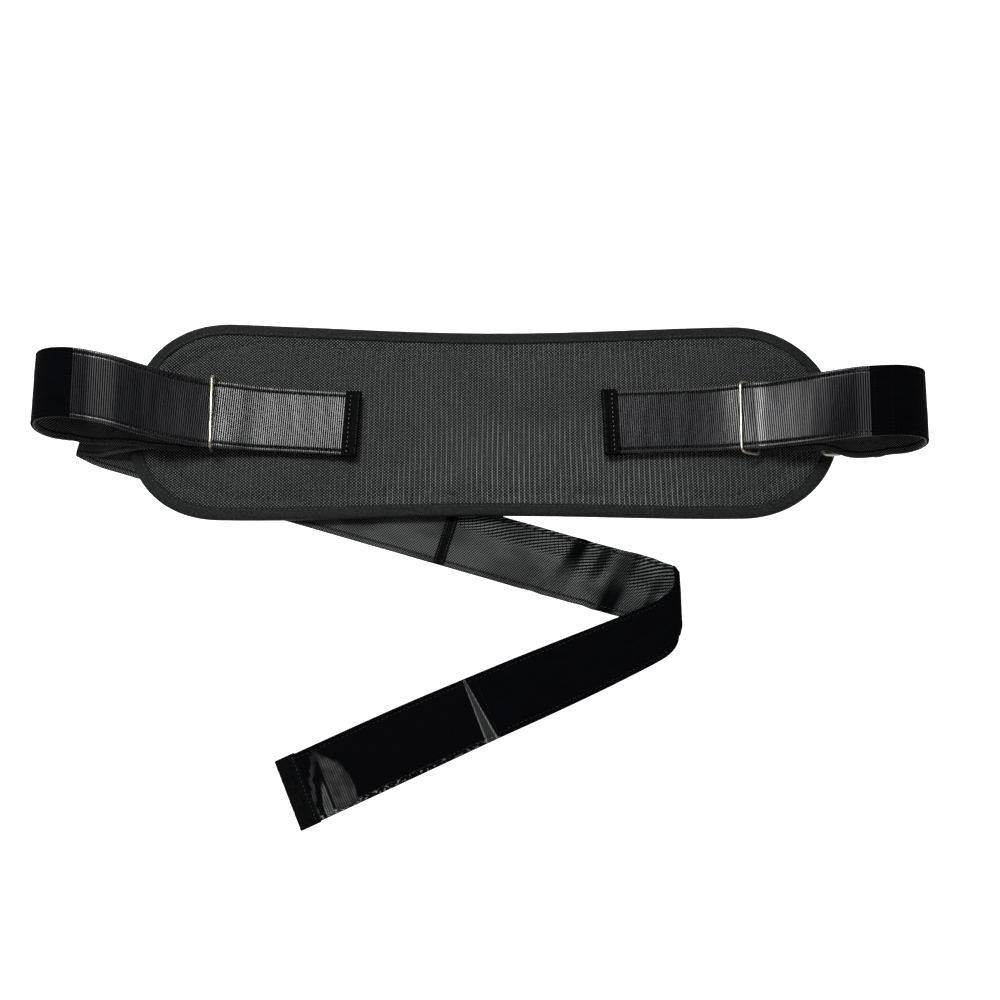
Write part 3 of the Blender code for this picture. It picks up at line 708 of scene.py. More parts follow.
def join_weave(pad):
    """Give each vertex one place in the weave map."""
    corners = np.zeros(len(pad.data.loops), np.int32)
    pad.data.loops.foreach_get("vertex_index", corners)
    layer = pad.data.uv_layers["weave"].data
    uv = np.zeros(2 * len(corners), np.float32)
    layer.foreach_get("uv", uv)
    uv = uv.reshape(-1, 2)
    count = np.maximum(np.bincount(corners), 1)
    for axis in range(2):
        uv[:, axis] = (np.bincount(corners, uv[:, axis]) / count)[corners]
    layer.foreach_set("uv", uv.ravel())


def apply_modifier(piece, modifier):
    bpy.context.view_layer.objects.active = piece
    with bpy.context.temp_override(object=piece, active_object=piece, selected_objects=[piece]):
        bpy.ops.object.modifier_apply(modifier=modifier.name)


def read_points(piece):
    points = np.zeros(3 * len(piece.data.vertices), np.float32)
    piece.data.vertices.foreach_get("co", points)
    return points.reshape(-1, 3).astype(float) - PANEL


def write_points(piece, points):
    piece.data.vertices.foreach_set("co", (points + PANEL).astype(np.float32).ravel())
    piece.data.update()


def rim_distance(points):
    """How far inside the panel's outline each point lies."""
    nearest = np.full(len(points), np.inf)
    for corner in bowed(panel_outline(2.0 * MM)[0]):
        nearest = np.minimum(nearest, np.hypot(points[:, 0] - corner[0], points[:, 1] - corner[1]))
    return nearest


def swell(pad):
    """Blow the pad up as cloth round its foam, held where the binding grips it."""
    rest = read_points(pad)
    add_group(pad, "held", rim_distance(rest) < GRIP)
    cloth = pad.modifiers.new("cloth", "CLOTH")
    cloth.settings.quality = 5
    cloth.settings.use_pressure = True
    cloth.settings.uniform_pressure_force = 4.0
    cloth.settings.mass = 0.3
    cloth.settings.bending_stiffness = 0.8
    cloth.settings.tension_stiffness = 12.0
    cloth.settings.compression_stiffness = 8.0
    cloth.settings.shrink_min = -0.012
    cloth.settings.effector_weights.gravity = 0.0
    cloth.settings.vertex_group_mass = "held"
    cloth.collision_settings.use_collision = False
    scene = bpy.context.scene
    for timed in (scene, cloth.point_cache):
        timed.frame_start = 1
        timed.frame_end = SIMULATED_FRAMES
    for number in range(1, SIMULATED_FRAMES + 1):
        scene.frame_set(number)
    apply_modifier(pad, cloth)
    scene.frame_set(1)
    step = read_points(pad) - rest
    size = np.linalg.norm(step, axis=1)[:, None]
    write_points(pad, rest + step * np.minimum(1.0, SWELL_LIMIT / np.maximum(size, 1e-9)))


def pucker(pad):
    """Pucker the cover along its seam."""
    points = read_points(pad)
    inset = rim_distance(points)
    around = np.arctan2(points[:, 1] * 3.0, points[:, 0])
    wave = ripple(points[:, 0] + 0.6 * around * 40.0 * MM, (13.0 * MM, 9.1 * MM, 21.0 * MM), 0.4)
    strength = ease(inset, 7.0 * MM, 11.0 * MM) * (1.0 - ease(inset, 14.0 * MM, 30.0 * MM))
    points[:, 2] += np.where(points[:, 2] > 4.5 * MM, PUCKER * wave * strength, 0.0)
    write_points(pad, points)


def settle(pad):
    """Keep the pad under the straps that lie on it and above its lining, without a hard edge."""
    points = read_points(pad)
    height = points[:, 2]
    over = np.maximum(height - (PAD_LIMIT - SOFT_STOP), 0.0)
    height = np.where(over > 0.0, PAD_LIMIT - SOFT_STOP * np.exp(-over / SOFT_STOP), height)
    points[:, 2] = np.maximum(height, PAD_BACK - 0.1 * MM)
    write_points(pad, points)


def add_lining():
    """The back lining: flat where it lies down, rising to the binding at its rim."""
    lower = skin(LINING_RIM, 19.0 * MM, 0.0, LINING_STEPS)
    upper = [(inset, height + LINING_THICK) for inset, height in lower]
    rows = panel_rows(upper + lower[::-1] + upper[:1])[:, ::-1]
    piece = Piece("panel_lining", bow=True)
    piece.grid(rows, rows[..., :2], "lining_cloth")
    return piece.build("lining_cloth", "left_lining", "right_lining")


def add_binding():
    """Tape folded round the rim, swept with a slight waver, and sewn through near its inner edge."""
    outline, run = panel_outline(2.0 * MM)
    total = run[-1] + run[1]
    along = np.append(run, total)
    rail = np.hstack((outline, inward_normals(outline)))
    rail = np.vstack((rail, rail[:1]))

    def place(long, wide, lift):
        spot = sampled(long, along, rail)
        return np.concatenate((spot[..., :2] + spot[..., 2:] * wide[..., None], lift[..., None]), axis=-1)

    waver = ripple(run / total, (1 / 61.0, 1 / 37.0, 1 / 97.0), 0.9)[:, None]
    rise = ripple(run / total, (1 / 83.0, 1 / 47.0), 2.1)[:, None]
    profile = smooth_curve(np.array(BINDING_SECTION) * MM, 0.7 * MM)[:-1]
    inset = profile[:, 0] + 0.22 * MM * waver * ease(profile[:, 0], -3.0 * MM, 6.0 * MM)
    points = place(run[:, None] + 0.0 * inset, inset, profile[:, 1] + 0.12 * MM * rise)
    uv = np.stack(np.broadcast_arrays(along[:, None], run_along(profile)), axis=-1)
    piece = Piece("panel_binding", bow=True)
    piece.grid(np.concatenate((points, points[:1])), uv, "binding_tape")
    stitches(piece, place, (0.0, BINDING_STITCH_INSET), (total, BINDING_STITCH_INSET), BINDING_STITCH_Z,
             2.7 * MM, 3.9 * MM, 0.3 * MM)
    return piece.build("binding_tape", "left_binding", "right_binding")


for layer in (add_pad(), add_lining(), add_binding()):
    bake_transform(layer)


# ---- Hand loops ----

WEBBING = 1.4 * MM
TAPE_LOW = 1.75 * MM
TAPE_HIGH = 2.95 * MM
RIB_HEIGHT = 0.18 * MM
RIB_GROOVE = 0.42 * MM
ROW = 1.0 * MM
RIB_ROW = RIB_PITCH / 6.0
LIFT_START = (4.0 * MM, 17.5 * MM)
LIFT_END = (50.0 * MM, 42.5 * MM)
PEEL_START = -14.0 * MM
PEEL_END = -32.0 * MM
VELVET_LENGTHS = {-1: 33.0 * MM, 1: 45.0 * MM}
VELVET_SEAMS = {-1: (2.0 * MM,), 1: (2.5 * MM, 15.0 * MM)}
VELVET_OVERLAP = 12.0 * MM

# Inner face of each loop: (run out from the ring's rear bar, height, middle, tilt), in mm
LOOP_BASES = {
    -1: (
        (24.5, 13.8, 0.0, 0.0), (48.0, 13.8, 1.5, 0.0), (57.0, 13.4, 3.0, 0.0),
        (66.0, 12.0, 4.0, 0.0), (74.0, 9.9, 5.0, 0.0), (82.0, 7.6, 5.5, 0.0),
        (92.0, 6.0, 6.0, 0.0), (101.0, 5.5, 7.0, 0.02),
    ),
    1: (
        (24.5, 13.8, 0.0, 0.0), (36.0, 14.1, 0.0, 0.0), (43.0, 16.4, 0.0, 0.0),
        (50.0, 17.8, -1.5, 0.0), (58.0, 18.3, -4.0, 0.0), (66.0, 17.8, -6.6, 0.0),
        (75.0, 15.0, -6.6, 0.0), (86.0, 10.4, -4.6, 0.0), (96.0, 7.4, -2.4, 0.02),
    ),
}
# The turn, as run back from the loop's far end: (run, height, share of sway, share of drag, tilt)
LOOP_TURN = (
    (21.0, 5.7, 0.73, 1.0, 0.04), (10.0, 7.4, 0.80, 0.5, 0.08), (3.0, 13.0, 0.86, 0.2, 0.12),
    (0.0, 22.5, 0.92, 0.0, 0.18), (1.5, 32.5, 1.0, 0.0, 0.22), (7.0, 40.0, 1.05, 0.0, 0.26),
    (18.0, 45.0, 1.08, 0.0, 0.28),
)
# The way back to the ring: (share of the reach, height, share of sway, tilt)
LOOP_BACK = (
    (0.74, 46.4, 1.04, 0.28), (0.57, 44.6, 0.80, 0.26), (0.40, 38.4, 0.46, 0.18),
    (0.25, 29.8, 0.20, 0.09), (0.12, 21.8, 0.05, 0.02), (0.05, 17.8, 0.0, 0.0),
)
# Under face of the free end, from the ring towards the panel's middle: (run, height)
TIP_HEIGHT = 10.4
TIP_KNOTS = (
    (0.0, 15.62), (-5.0, 15.0), (-12.0, 13.8), (-18.0, 12.7), (-26.0, 11.3), (-36.0, 10.5),
    (-52.0, TIP_HEIGHT), (-70.0, TIP_HEIGHT),
)
LOOP_SWAY = {-1: 12.5, 1: 1.0}
BASE_DRAG = {-1: 0.0, 1: -0.9}

# How much shorter the free end is than its stand-in, and its sideways shift at the ring and at the tip, in mm
TIP_SHORTER = {-1: 2.4, 1: 0.0}
TIP_SHIFT = {-1: (3.8, 1.4), 1: (3.0, 1.2)}
RING_SPREAD = 0.035
SPREAD_REACH = 42.0 * MM

# The tape over the cut end: its length and, back from its inner edge, its seam, crease,
# bulge and long stitches
TIP_BINDING_LENGTH = 11.8 * MM
TIP_SEAM = 3.7 * MM
TIP_CREASE = 6.2 * MM
TIP_BULGE = 8.8 * MM
TIP_EDGE = 10.0 * MM
FOLD_CLOTH = 0.9 * MM


def follow(path):
    """A place function for cloth along a path of points, across vectors, outward vectors and runs."""
    centre, across, outward, length = path
    turn = np.dot(np.cross(across[-1], outward[-1]), centre[-1] - centre[-2])

    def place(run, wide, lift):
        inside = np.clip(run, length[0], length[-1])
        beyond = math.copysign(1.0, turn) * (run - inside)[..., None]
        point, side, out = [sampled(inside, length, field) for field in (centre, across, outward)]
        return point + side * wide[..., None] + out * lift[..., None] + np.cross(side, out) * beyond

    return place


def widened(place, ring_run):
    """The strap spreads a little where it passes through the ring."""
    def spread(run, wide, lift):
        return place(run, wide * (1.0 + RING_SPREAD * bell(run, ring_run, SPREAD_REACH)), lift)

    return spread


def ribs(run, across, line):
    """Cross ribs of the tape, flatter on the selvedge strips outside the sewn grooves."""
    rib = np.abs(np.sin(math.pi * run / RIB_PITCH)) ** 0.8
    edge = ease(np.abs(across), line - 0.2 * MM, line + 0.7 * MM)
    groove = bell(np.abs(across), line, 0.65 * MM)
    uneven = 1.0 + 0.25 * ripple(run + across * 0.3, (17.0 * MM, 7.3 * MM))
    return RIB_HEIGHT * rib * uneven * (1.0 - 0.35 * edge) * (1.0 - groove) - RIB_GROOVE * groove


def soft(run, across, line):
    """Velvet's face: a slight swell between its sewn edges."""
    groove = bell(np.abs(across), line, 0.7 * MM)
    return 0.12 * MM * ripple(run + 0.4 * across, (19.0 * MM, 8.0 * MM)) - 0.35 * MM * groove


def creased(dips, height, lengths):
    """A relief of (run, half width, depth) dips across the strap, with a light ripple along them."""
    def relief(run, across, line):
        total = height * ripple(across, lengths)
        for middle, half, depth in dips:
            total = total - depth * bell(run, middle, half)
        return total

    return relief


def facing_up(axis):
    """The axis, turned to point to the panel's upper edge."""
    return np.array(axis) * math.copysign(1.0, axis[1])


class Handle:
    """One hand loop: where its ring stands and how its strap runs."""

    def __init__(self, prefix, side):
        self.prefix = prefix
        self.side = side
        self.body = "panel_" + prefix
        joint = joints[prefix + "_ring_swing"]
        self.ring = in_panel(joint["pos_m"])
        self.across = facing_up(joint["axis"])
        self.along = side * np.array((self.across[1], -self.across[0], 0.0))
        self.reach = self.extent("_loop_velvet", side) - TAPE_HIGH
        self.tip = TIP_SHORTER[side] - self.extent("_tip_binding", -side) / MM

    def extent(self, node, side):
        """How far the node reaches along the belt from the ring, on one side of it."""
        return abs(node_box(self.prefix + node)[side > 0][0] - self.ring[0])

    def world(self, run, height):
        return tuple(PANEL + self.ring * LEVEL + self.along * run + UP * height)

    def framed(self, knots, spacing=0.5 * MM):
        """A path through (run, height, middle, tilt) knots, and how far out from the ring its points are."""
        path = smooth_curve(np.array(knots) * (MM, MM, MM, 1.0), spacing)
        centre = self.ring * LEVEL + path[:, :1] * self.along + path[:, 1:2] * UP + path[:, 2:3] * self.across
        ahead = np.gradient(path[:, :2], axis=0)
        across = unit(self.across + path[:, 3:4] * UP)
        outward = ahead[:, 1:2] * self.along - ahead[:, :1] * UP
        outward = unit(outward - across * np.sum(outward * across, axis=1)[:, None])
        return (centre, across, outward, run_along(centre)), path[:, 0]

    def layer(self, name, place, runs, low, high, material, relief=None, **kind):
        """Start a layer of the strap, with the name of its piece."""
        piece = Piece(self.prefix + name)
        strap(piece, place, runs, HAND_WIDTH, low, high, material, relief, **kind)
        return piece

    def finish(self, piece, slot, body, *nodes):
        """Build a layer of the loop or of the free end."""
        ends = {"_loop": (LIFT_START, LIFT_END), "_tip": ((PEEL_START, 0.0), (PEEL_END, 0.0))}[body]
        layer = piece.build(slot, *[self.prefix + node for node in nodes])
        self.prefix + body
        self.world(*ends[0])
        self.world(*ends[1])
        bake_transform(layer)


def add_loop(handle):
    """The loop from the keeper's tail, out, round the turn and back to the ring."""
    sway = LOOP_SWAY[handle.side]
    drag = BASE_DRAG[handle.side]
    raised = TIP_SHIFT[handle.side][0]
    reach = handle.reach / MM
    knots = list(LOOP_BASES[handle.side])
    knots += [(reach - back, height, share * sway + pull * drag, tilt)
              for back, height, share, pull, tilt in LOOP_TURN]
    knots += [(share * reach, height, shift * sway + raised * max(1.0 - share / 0.35, 0.0), tilt)
              for share, height, shift, tilt in LOOP_BACK]
    knots += [(run, height, raised, 0.0) for run, height in TIP_KNOTS[:2]]
    path, run = handle.framed(knots)
    length = path[3]
    turn = int(np.argmax(run))
    end = float(np.interp(0.0, -run[turn:], length[turn:]))
    seam_run = handle.reach - VELVET_LENGTHS[handle.side]
    seam = float(np.interp(-seam_run, -run[turn:], length[turn:]))
    velvet_start = float(np.interp(seam_run + VELVET_OVERLAP, run[:turn], length[:turn]))
    place = widened(follow(path), end)

    web = handle.layer("_loop_webbing_cloth", place, spaced(0.0, end, ROW), 0.0, WEBBING, "webbing")
    sew_edges(web, place, velvet_start, end, 0.0, line=HAND_LINE, length=2.2 * MM)
    sew_edges(web, place, 3.0 * MM, velvet_start, WEBBING, 0.0, line=HAND_LINE)
    handle.finish(web, "webbing", "_loop", "_loop_webbing")

    rows = spaced(velvet_start, seam, ROW)
    pile = handle.layer("_loop_velvet_cloth", place, rows, TAPE_LOW, TAPE_HIGH, "velvet_tape", soft)
    sew_edges(pile, place, velvet_start, seam, TAPE_HIGH - 0.22 * MM, line=HAND_LINE, material="dull_thread")
    for back in VELVET_SEAMS[handle.side]:
        sew_across(pile, place, seam - back, 24.0 * MM, TAPE_HIGH + 0.05 * MM, material="dull_thread")
    handle.finish(pile, "velvet_tape", "_loop", "_loop_velvet")

    tape = handle.layer("_loop_tape_cloth", place, spaced(seam + 0.3 * MM, end, RIB_ROW), TAPE_LOW, TAPE_HIGH,
                        "ribbed_tape", ribs, columns=21, origin=end)
    sew_edges(tape, place, seam + 1.0 * MM, end, TAPE_HIGH - RIB_GROOVE, line=HAND_LINE)
    handle.finish(tape, "ribbed_tape", "_loop", "_loop_tape")


def add_tip(handle):
    """The free end from the ring to its bound cut end."""
    tip = handle.tip
    raised, level = TIP_SHIFT[handle.side]
    knots = [(2.0, 15.95, raised, 0.0)]
    knots += [(run, height, raised + (level - raised) * run / tip, 0.0) for run, height in TIP_KNOTS]
    path, run = handle.framed(knots + [(tip + 1.2, TIP_HEIGHT, level, 0.0)])
    length = path[3]
    start = float(np.interp(0.0, -run, length))
    hooks = float(np.interp(20.0 * MM, -run, length))
    end = length[-1]
    bound = end - TIP_BINDING_LENGTH
    place = widened(follow(path), start)

    tape = handle.layer("_tip_tape_cloth", place, spaced(start, end, RIB_ROW), TAPE_LOW, TAPE_HIGH,
                        "ribbed_tape", ribs, columns=21, origin=start)
    sew_edges(tape, place, start, bound, TAPE_HIGH - RIB_GROOVE, line=HAND_LINE)
    handle.finish(tape, "ribbed_tape", "_tip", "_ring_tape", "_tip_tape")
    web = handle.layer("_ring_webbing_cloth", place, spaced(start, hooks, ROW), 0.0, WEBBING, "webbing")
    handle.finish(web, "webbing", "_tip", "_ring_webbing")
    hook = handle.layer("_tip_hook_cloth", place, spaced(hooks, bound, ROW), 0.0, WEBBING, "hook_tape")
    handle.finish(hook, "hook_tape", "_tip", "_tip_hook")

    low, high = TIP_HEIGHT + 1.45, TIP_HEIGHT + 3.25
    inner = tip + TIP_BINDING_LENGTH / MM
    fold = (
        (inner, low), (inner - 5.0, low), (tip + 1.6, low), (tip + 1.0, low + 0.5), (tip + 1.0, high - 0.5),
        (tip + 1.7, high), (inner - 5.0, high), (inner, high),
    )
    centre, across, outward, length = handle.framed([(*spot, level, 0.0) for spot in fold], 0.25 * MM)[0]
    place = follow((centre, across, -outward, length))
    end = length[-1]
    relief = creased((
        (end - TIP_SEAM, 0.7 * MM, 0.45 * MM), (end - TIP_CREASE, 0.9 * MM, 0.40 * MM),
        (end - TIP_BULGE, 1.6 * MM, -0.35 * MM),
    ), 0.14 * MM, (11.0 * MM, 5.0 * MM))
    wrap = Piece(handle.prefix + "_tip_binding_cloth")
    strap(wrap, place, length, HAND_WIDTH + 1.0 * MM, 0.0, FOLD_CLOTH, "end_tape", relief, columns=25)
    sew_across(wrap, place, end - TIP_SEAM, 24.5 * MM, FOLD_CLOTH - 0.22 * MM, 1.1 * MM, 3.6 * MM,
               radius=0.2 * MM, material="pale_thread")
    sew_across(wrap, place, end - TIP_EDGE, 25.0 * MM, FOLD_CLOTH + 0.10 * MM, 5.6 * MM, 6.0 * MM,
               radius=0.25 * MM, material="grey_thread")
    wrap.build("binding_tape", handle.prefix + "_tip_binding", body=handle.prefix + "_tip")


# ---- Rings and keepers ----

WIRE_RADIUS = 1.2 * MM
WIRE_SIDES = 14
RING_LENGTH = 57.2 * MM
RING_DEPTH = 15.6 * MM
RING_CORNER = 3.4 * MM
CORNER_STEPS = 8
RING_POINTS = 160
RING_ANGLES = {-1: math.radians(90.0), 1: math.radians(32.0)}
RING_LEANS = {-1: math.radians(4.8), 1: math.radians(-3.5)}
RING_SHIFT = {-1: 2.6 * MM, 1: 0.8 * MM}

# The tab's loop round the bar as (run, height) from the bar, in mm
KEEPER_WIDTH = 44.0 * MM
KEEPER = (
    (23.5, -1.3), (12.0, -1.1), (6.0, 0.3), (2.5, 1.6), (0.0, 1.95), (-1.75, 1.1), (-1.95, -0.6),
    (-0.8, -1.85), (2.0, -2.15), (6.0, -2.1), (23.5, -2.1),
)


def sweep_wire(piece, line):
    """Sweep a round wire along a closed line that lies in a plane."""
    third = len(line) // 3
    ahead = unit(np.roll(line, -1, axis=0) - np.roll(line, 1, axis=0))
    plane = unit(np.cross(line[third] - line[0], line[2 * len(line) // 3] - line[0]))
    side = np.cross(ahead, plane)
    angle = 2.0 * math.pi * np.arange(WIRE_SIDES) / WIRE_SIDES
    turned = np.cos(angle)[:, None] * side[:, None, :] + np.sin(angle)[:, None] * plane
    points = line[:, None, :] + WIRE_RADIUS * turned
    points = np.concatenate((points, points[:1]))
    uv = np.stack(np.broadcast_arrays(run_along(points[:, 0])[:, None], WIRE_RADIUS * angle), axis=-1)
    piece.grid(points, uv, "nickel")


def ring_line():
    """Points round the ring as (depth from the rear bar, across)."""
    near, far, half = RING_CORNER, RING_DEPTH - RING_CORNER, RING_LENGTH / 2.0 - RING_CORNER
    corners = ((near, -half, 180.0), (far, -half, 270.0), (far, half, 0.0), (near, half, 90.0))
    points = []
    for depth, across, start in corners:
        for step in range(CORNER_STEPS + 1):
            angle = math.radians(start + 90.0 * step / CORNER_STEPS)
            points.append((depth + RING_CORNER * math.cos(angle), across + RING_CORNER * math.sin(angle)))
    points = np.array(points + points[:1])
    run = run_along(points)
    return sampled(np.linspace(0.0, run[-1], RING_POINTS, endpoint=False), run, points)


def add_ring(name, forward, across, shift=0.0, lean=0.0):
    """A wire ring in the plane of forward and across, whose rear bar lies on its joint. The front bar is
    bent out of line by lean."""
    line = ring_line()
    leaned = across + line[:, :1] / RING_DEPTH * lean
    spot = in_panel(joints[name + "_swing"]["pos_m"])
    ring = Piece(name + "_wire")
    sweep_wire(ring, spot + line[:, :1] * forward + (line[:, 1:2] + shift) * leaned)
    ring.build("nickel", name, body=name)


def add_keeper(name, node, joint, along, across, body):
    """A folded webbing tab that holds a ring's rear bar."""
    profile = smooth_curve(np.array(KEEPER) * MM, 0.4 * MM)
    centre = in_panel(joints[joint]["pos_m"]) + profile[:, :1] * along + profile[:, 1:2] * UP
    ahead = np.gradient(profile, axis=0)
    inward = unit(ahead[:, :1] * UP - ahead[:, 1:2] * along)
    length = run_along(centre)
    place = follow((centre, np.repeat(across[None, :], len(centre), axis=0), inward, length))
    tab = Piece(name)
    strap(tab, place, length, KEEPER_WIDTH, -0.3 * MM, 0.3 * MM, "webbing", columns=9)
    sew_across(tab, place, 12.0 * MM, 20.0 * MM, 0.35 * MM)
    tab.build("webbing", node, body=body)


for prefix, side in (("left", -1), ("right", 1)):
    handle = Handle(prefix, side)
    add_loop(handle)
    add_tip(handle)
    back = np.cross(UP, handle.across) * -side
    forward = UP * math.sin(RING_ANGLES[side]) - back * math.cos(RING_ANGLES[side])
    lean = -side * math.tan(RING_LEANS[side]) * handle.along
    add_ring(prefix + "_ring", forward, handle.across, RING_SHIFT[side], lean)
    add_keeper(prefix + "_keeper_tab", prefix + "_ring_keeper", prefix + "_ring_swing", back, handle.across,
               handle.body)

add_ring("closure_ring", RIGHTWARD, UPPERWARD)
add_keeper("closure_tab", "closure_ring_tab", "closure_ring_swing", -RIGHTWARD, UPPERWARD, "panel_right")


# ---- Closure strap ----

NEAR_FOLD = in_panel(joints["closure_swing"]["pos_m"])
FAR_FOLD = in_panel(joints["closure_fold"]["pos_m"])
WEB_LOW, WEB_HIGH = 0.15 * MM, 1.55 * MM
PILE_LOW, PILE_HIGH = 1.85 * MM, 3.05 * MM
STRAP_MIDDLE = (PILE_HIGH + WEB_LOW) / 2.0
FOLD_RADIUS = 0.85 * MM
TURN = math.pi * FOLD_RADIUS
PATCH_ALONG = 292.0 * MM
PATCH_LENGTH = 8.0 * MM
HOOK_LEAD = 6.5 * MM

INNER_LENGTH = float(np.linalg.norm((FAR_FOLD - NEAR_FOLD) * LEVEL))
INNER_WAY = unit((FAR_FOLD - NEAR_FOLD) * LEVEL)
INNER_SIDE = np.cross(UP, INNER_WAY)
NEAR_CREASE = facing_up(joints["closure_swing"]["axis"])
FAR_CREASE = facing_up(joints["closure_fold"]["axis"])
NEAR_OUT = -np.cross(NEAR_CREASE, UP)
FAR_OUT = np.cross(FAR_CREASE, UP)
OUTER_SIDE = np.cross(UP, 2.0 * FAR_CREASE * np.dot(INNER_WAY, FAR_CREASE) - INNER_WAY)

# How far a row slants to follow its crease, and the run that the turn over the crease takes
NEAR_SKEW = -float(np.dot(INNER_SIDE, NEAR_OUT) / np.dot(INNER_WAY, NEAR_OUT))
FAR_SKEW = -float(np.dot(INNER_SIDE, FAR_OUT) / np.dot(INNER_WAY, FAR_OUT))
NEAR_TURN = TURN / abs(float(np.dot(INNER_WAY, NEAR_OUT)))
FAR_TURN = TURN / abs(float(np.dot(INNER_WAY, FAR_OUT)))

CREASE_HALF = 29.0 * MM
CREASE_CORNER = 9.0 * MM
LEAN_REACH = 16.0 * MM
FAR_LEAN = 3.8 * MM

# The lower corner of the near fold is pinched upwards, and the inner strap has a shoulder before the far fold
PINCH = 3.0 * MM
PINCH_REACH = 14.0 * MM
SHOULDER = 1.1 * MM
SHOULDER_MIDDLE = 28.0 * MM
SHOULDER_REACH = 15.0 * MM

# Rise and drift of the anchor, from its fold inwards, in mm
ANCHOR_RUN = (0.0, 9.0, 17.0, 25.0, 32.0, 39.0, 48.0, 57.0, 79.0)
ANCHOR_RISE = (0.0, 0.0, 1.4, 4.6, 7.75, 9.75, 11.25, 11.8, 11.8)
ANCHOR_DRIFT = (0.0, 0.2, 0.6, 1.2, 1.8, 2.4, 3.2, 4.0, 4.0)
ANCHOR_LENGTH = 79.0 * MM

# In-plane drift of the outer strap past its fold: of its lower and of its upper edge, in mm
DRIFT_RUN = (0.0, 4.0, 9.0, 16.0, 25.0, 40.0, 70.0, 110.0, 150.0, 220.0, 320.0)
LOWER_DRIFT = (0.0, 4.4, 7.2, 8.9, 9.7, 10.5, 11.6, 12.1, 12.1, 12.8, 13.4)
UPPER_DRIFT = (0.0, 8.2, 14.0, 17.2, 18.3, 18.3, 16.8, 14.9, 13.4, 11.9, 12.4)

# The tape over the strap's cut end
END_WRAP = END_BINDING_LENGTH - 1.6 * MM
END_RADIUS = (PILE_HIGH - WEB_LOW) / 2.0 + 0.1 * MM
END_TURN = math.pi * END_RADIUS
END_TOTAL = 2.0 * END_WRAP + END_TURN
END_SEAM = END_TOTAL - 2.2 * MM


def folded(fold, crease, outside, leaning=0.0):
    """A place function for cloth that is flat along the inner strap and turns over a crease at the fold.
    Depth counts from the fold's axis; leaning pulls in the crease's lower end. The return value also says how
    far past the fold a point lies."""
    def place(run, wide, depth):
        flat = (NEAR_FOLD - fold) * LEVEL + run[..., None] * INNER_WAY + wide[..., None] * INNER_SIDE
        past = flat @ outside
        slide = flat @ crease
        beyond = np.maximum(past - TURN, 0.0)
        angle = np.clip(past / FOLD_RADIUS, 0.0, math.pi)
        upper = ease(slide, CREASE_HALF - CREASE_CORNER, CREASE_HALF)
        either = ease(np.abs(slide), CREASE_HALF - CREASE_CORNER, CREASE_HALF)
        tuck = leaning * (0.5 - 0.5 * slide / CREASE_HALF + 0.8 * upper) * bell(past, 0.0, LEAN_REACH)
        out = np.where(past < 0.0, past, -beyond) + depth * np.sin(angle) * (1.0 - 0.75 * either) - tuck
        lift = -depth * np.cos(angle)
        return fold + slide[..., None] * crease + out[..., None] * outside + lift[..., None] * UP, beyond

    return place


near = folded(NEAR_FOLD, NEAR_CREASE, NEAR_OUT)
far = folded(FAR_FOLD, FAR_CREASE, FAR_OUT, FAR_LEAN)


def along_table(past, runs, values):
    """A table of mm against mm, read smoothly at lengths in metres."""
    curve = smooth_curve(list(zip(runs, values)), 0.5)
    return np.interp(past / MM, curve[:, 0], curve[:, 1]) * MM


def pinched(run, wide):
    return PINCH * bell(run, 0.0, PINCH_REACH) * ease(-wide, 4.0 * MM, 25.0 * MM)


def anchor_place(run, wide, depth):
    """The anchor rises over the binding and onto the panel's front."""
    points, past = near(run + NEAR_SKEW * wide, wide, depth)
    rise = along_table(past, ANCHOR_RUN, ANCHOR_RISE)
    drift = along_table(past, ANCHOR_RUN, ANCHOR_DRIFT) + pinched(past, wide)
    return points + rise[..., None] * UP + drift[..., None] * UPPERWARD


def outer_place(run, wide, depth):
    """The outer strap drifts sideways past its fold, and stands up a little beside it."""
    points, past = far(run, wide, depth)
    lower = along_table(past, DRIFT_RUN, LOWER_DRIFT)
    upper = along_table(past, DRIFT_RUN, UPPER_DRIFT)
    drift = lower + (upper - lower) * np.clip(wide / STRAP_WIDTH + 0.5, 0.0, 1.0)
    swell = 1.6 * MM * np.exp(-past / (14.0 * MM)) * (1.0 - np.exp(-past / (3.0 * MM)))
    return points + drift[..., None] * OUTER_SIDE + swell[..., None] * UP


def inner_place(run, wide, depth):
    """The inner strap lies flat, but for creases where it nears the far fold."""
    from_fold = INNER_LENGTH - run
    slanted = from_fold + CRUMPLE_SLANT * wide
    fade = ease(from_fold, 6.0 * MM, 22.0 * MM) * (1.0 - ease(from_fold, 60.0 * MM, 110.0 * MM))
    lift = 0.5 * MM * fade * ripple(slanted, (23.0 * MM, 14.0 * MM), 1.1)
    for middle, half, height, *_ in CRUMPLES:
        crest = bell(slanted, middle + 2.0 * half, 1.2 * half)
        valley = bell(slanted, middle, half)
        lift = lift + height * (1.1 * crest - valley) * (1.0 - 0.6 * ease(wide, 0.0, 22.0 * MM))
    wave = 0.25 * MM * ripple(run + 0.3 * wide, (61.0 * MM, 37.0 * MM), 0.5) * ease(run, 5.0 * MM, 40.0 * MM)
    lift = lift + wave * ease(from_fold, 5.0 * MM, 60.0 * MM)
    shoulder = SHOULDER * bell(from_fold, SHOULDER_MIDDLE, SHOULDER_REACH) * ease(wide, 4.0 * MM, 25.0 * MM)
    aside = pinched(np.maximum(run, 0.0), wide) + shoulder
    beyond_half = (run > INNER_LENGTH / 2.0)[..., None]
    points = np.where(beyond_half, far(run, wide, depth)[0], near(run, wide, depth)[0])
    return points + lift[..., None] * UP + aside[..., None] * INNER_SIDE


def inner_rows(run, wide, depth):
    """The inner strap in rows that slant from the near crease's angle to the far one's."""
    share = run / INNER_LENGTH
    return inner_place(run + (NEAR_SKEW * (1.0 - share) + FAR_SKEW * share) * wide, wide, depth)


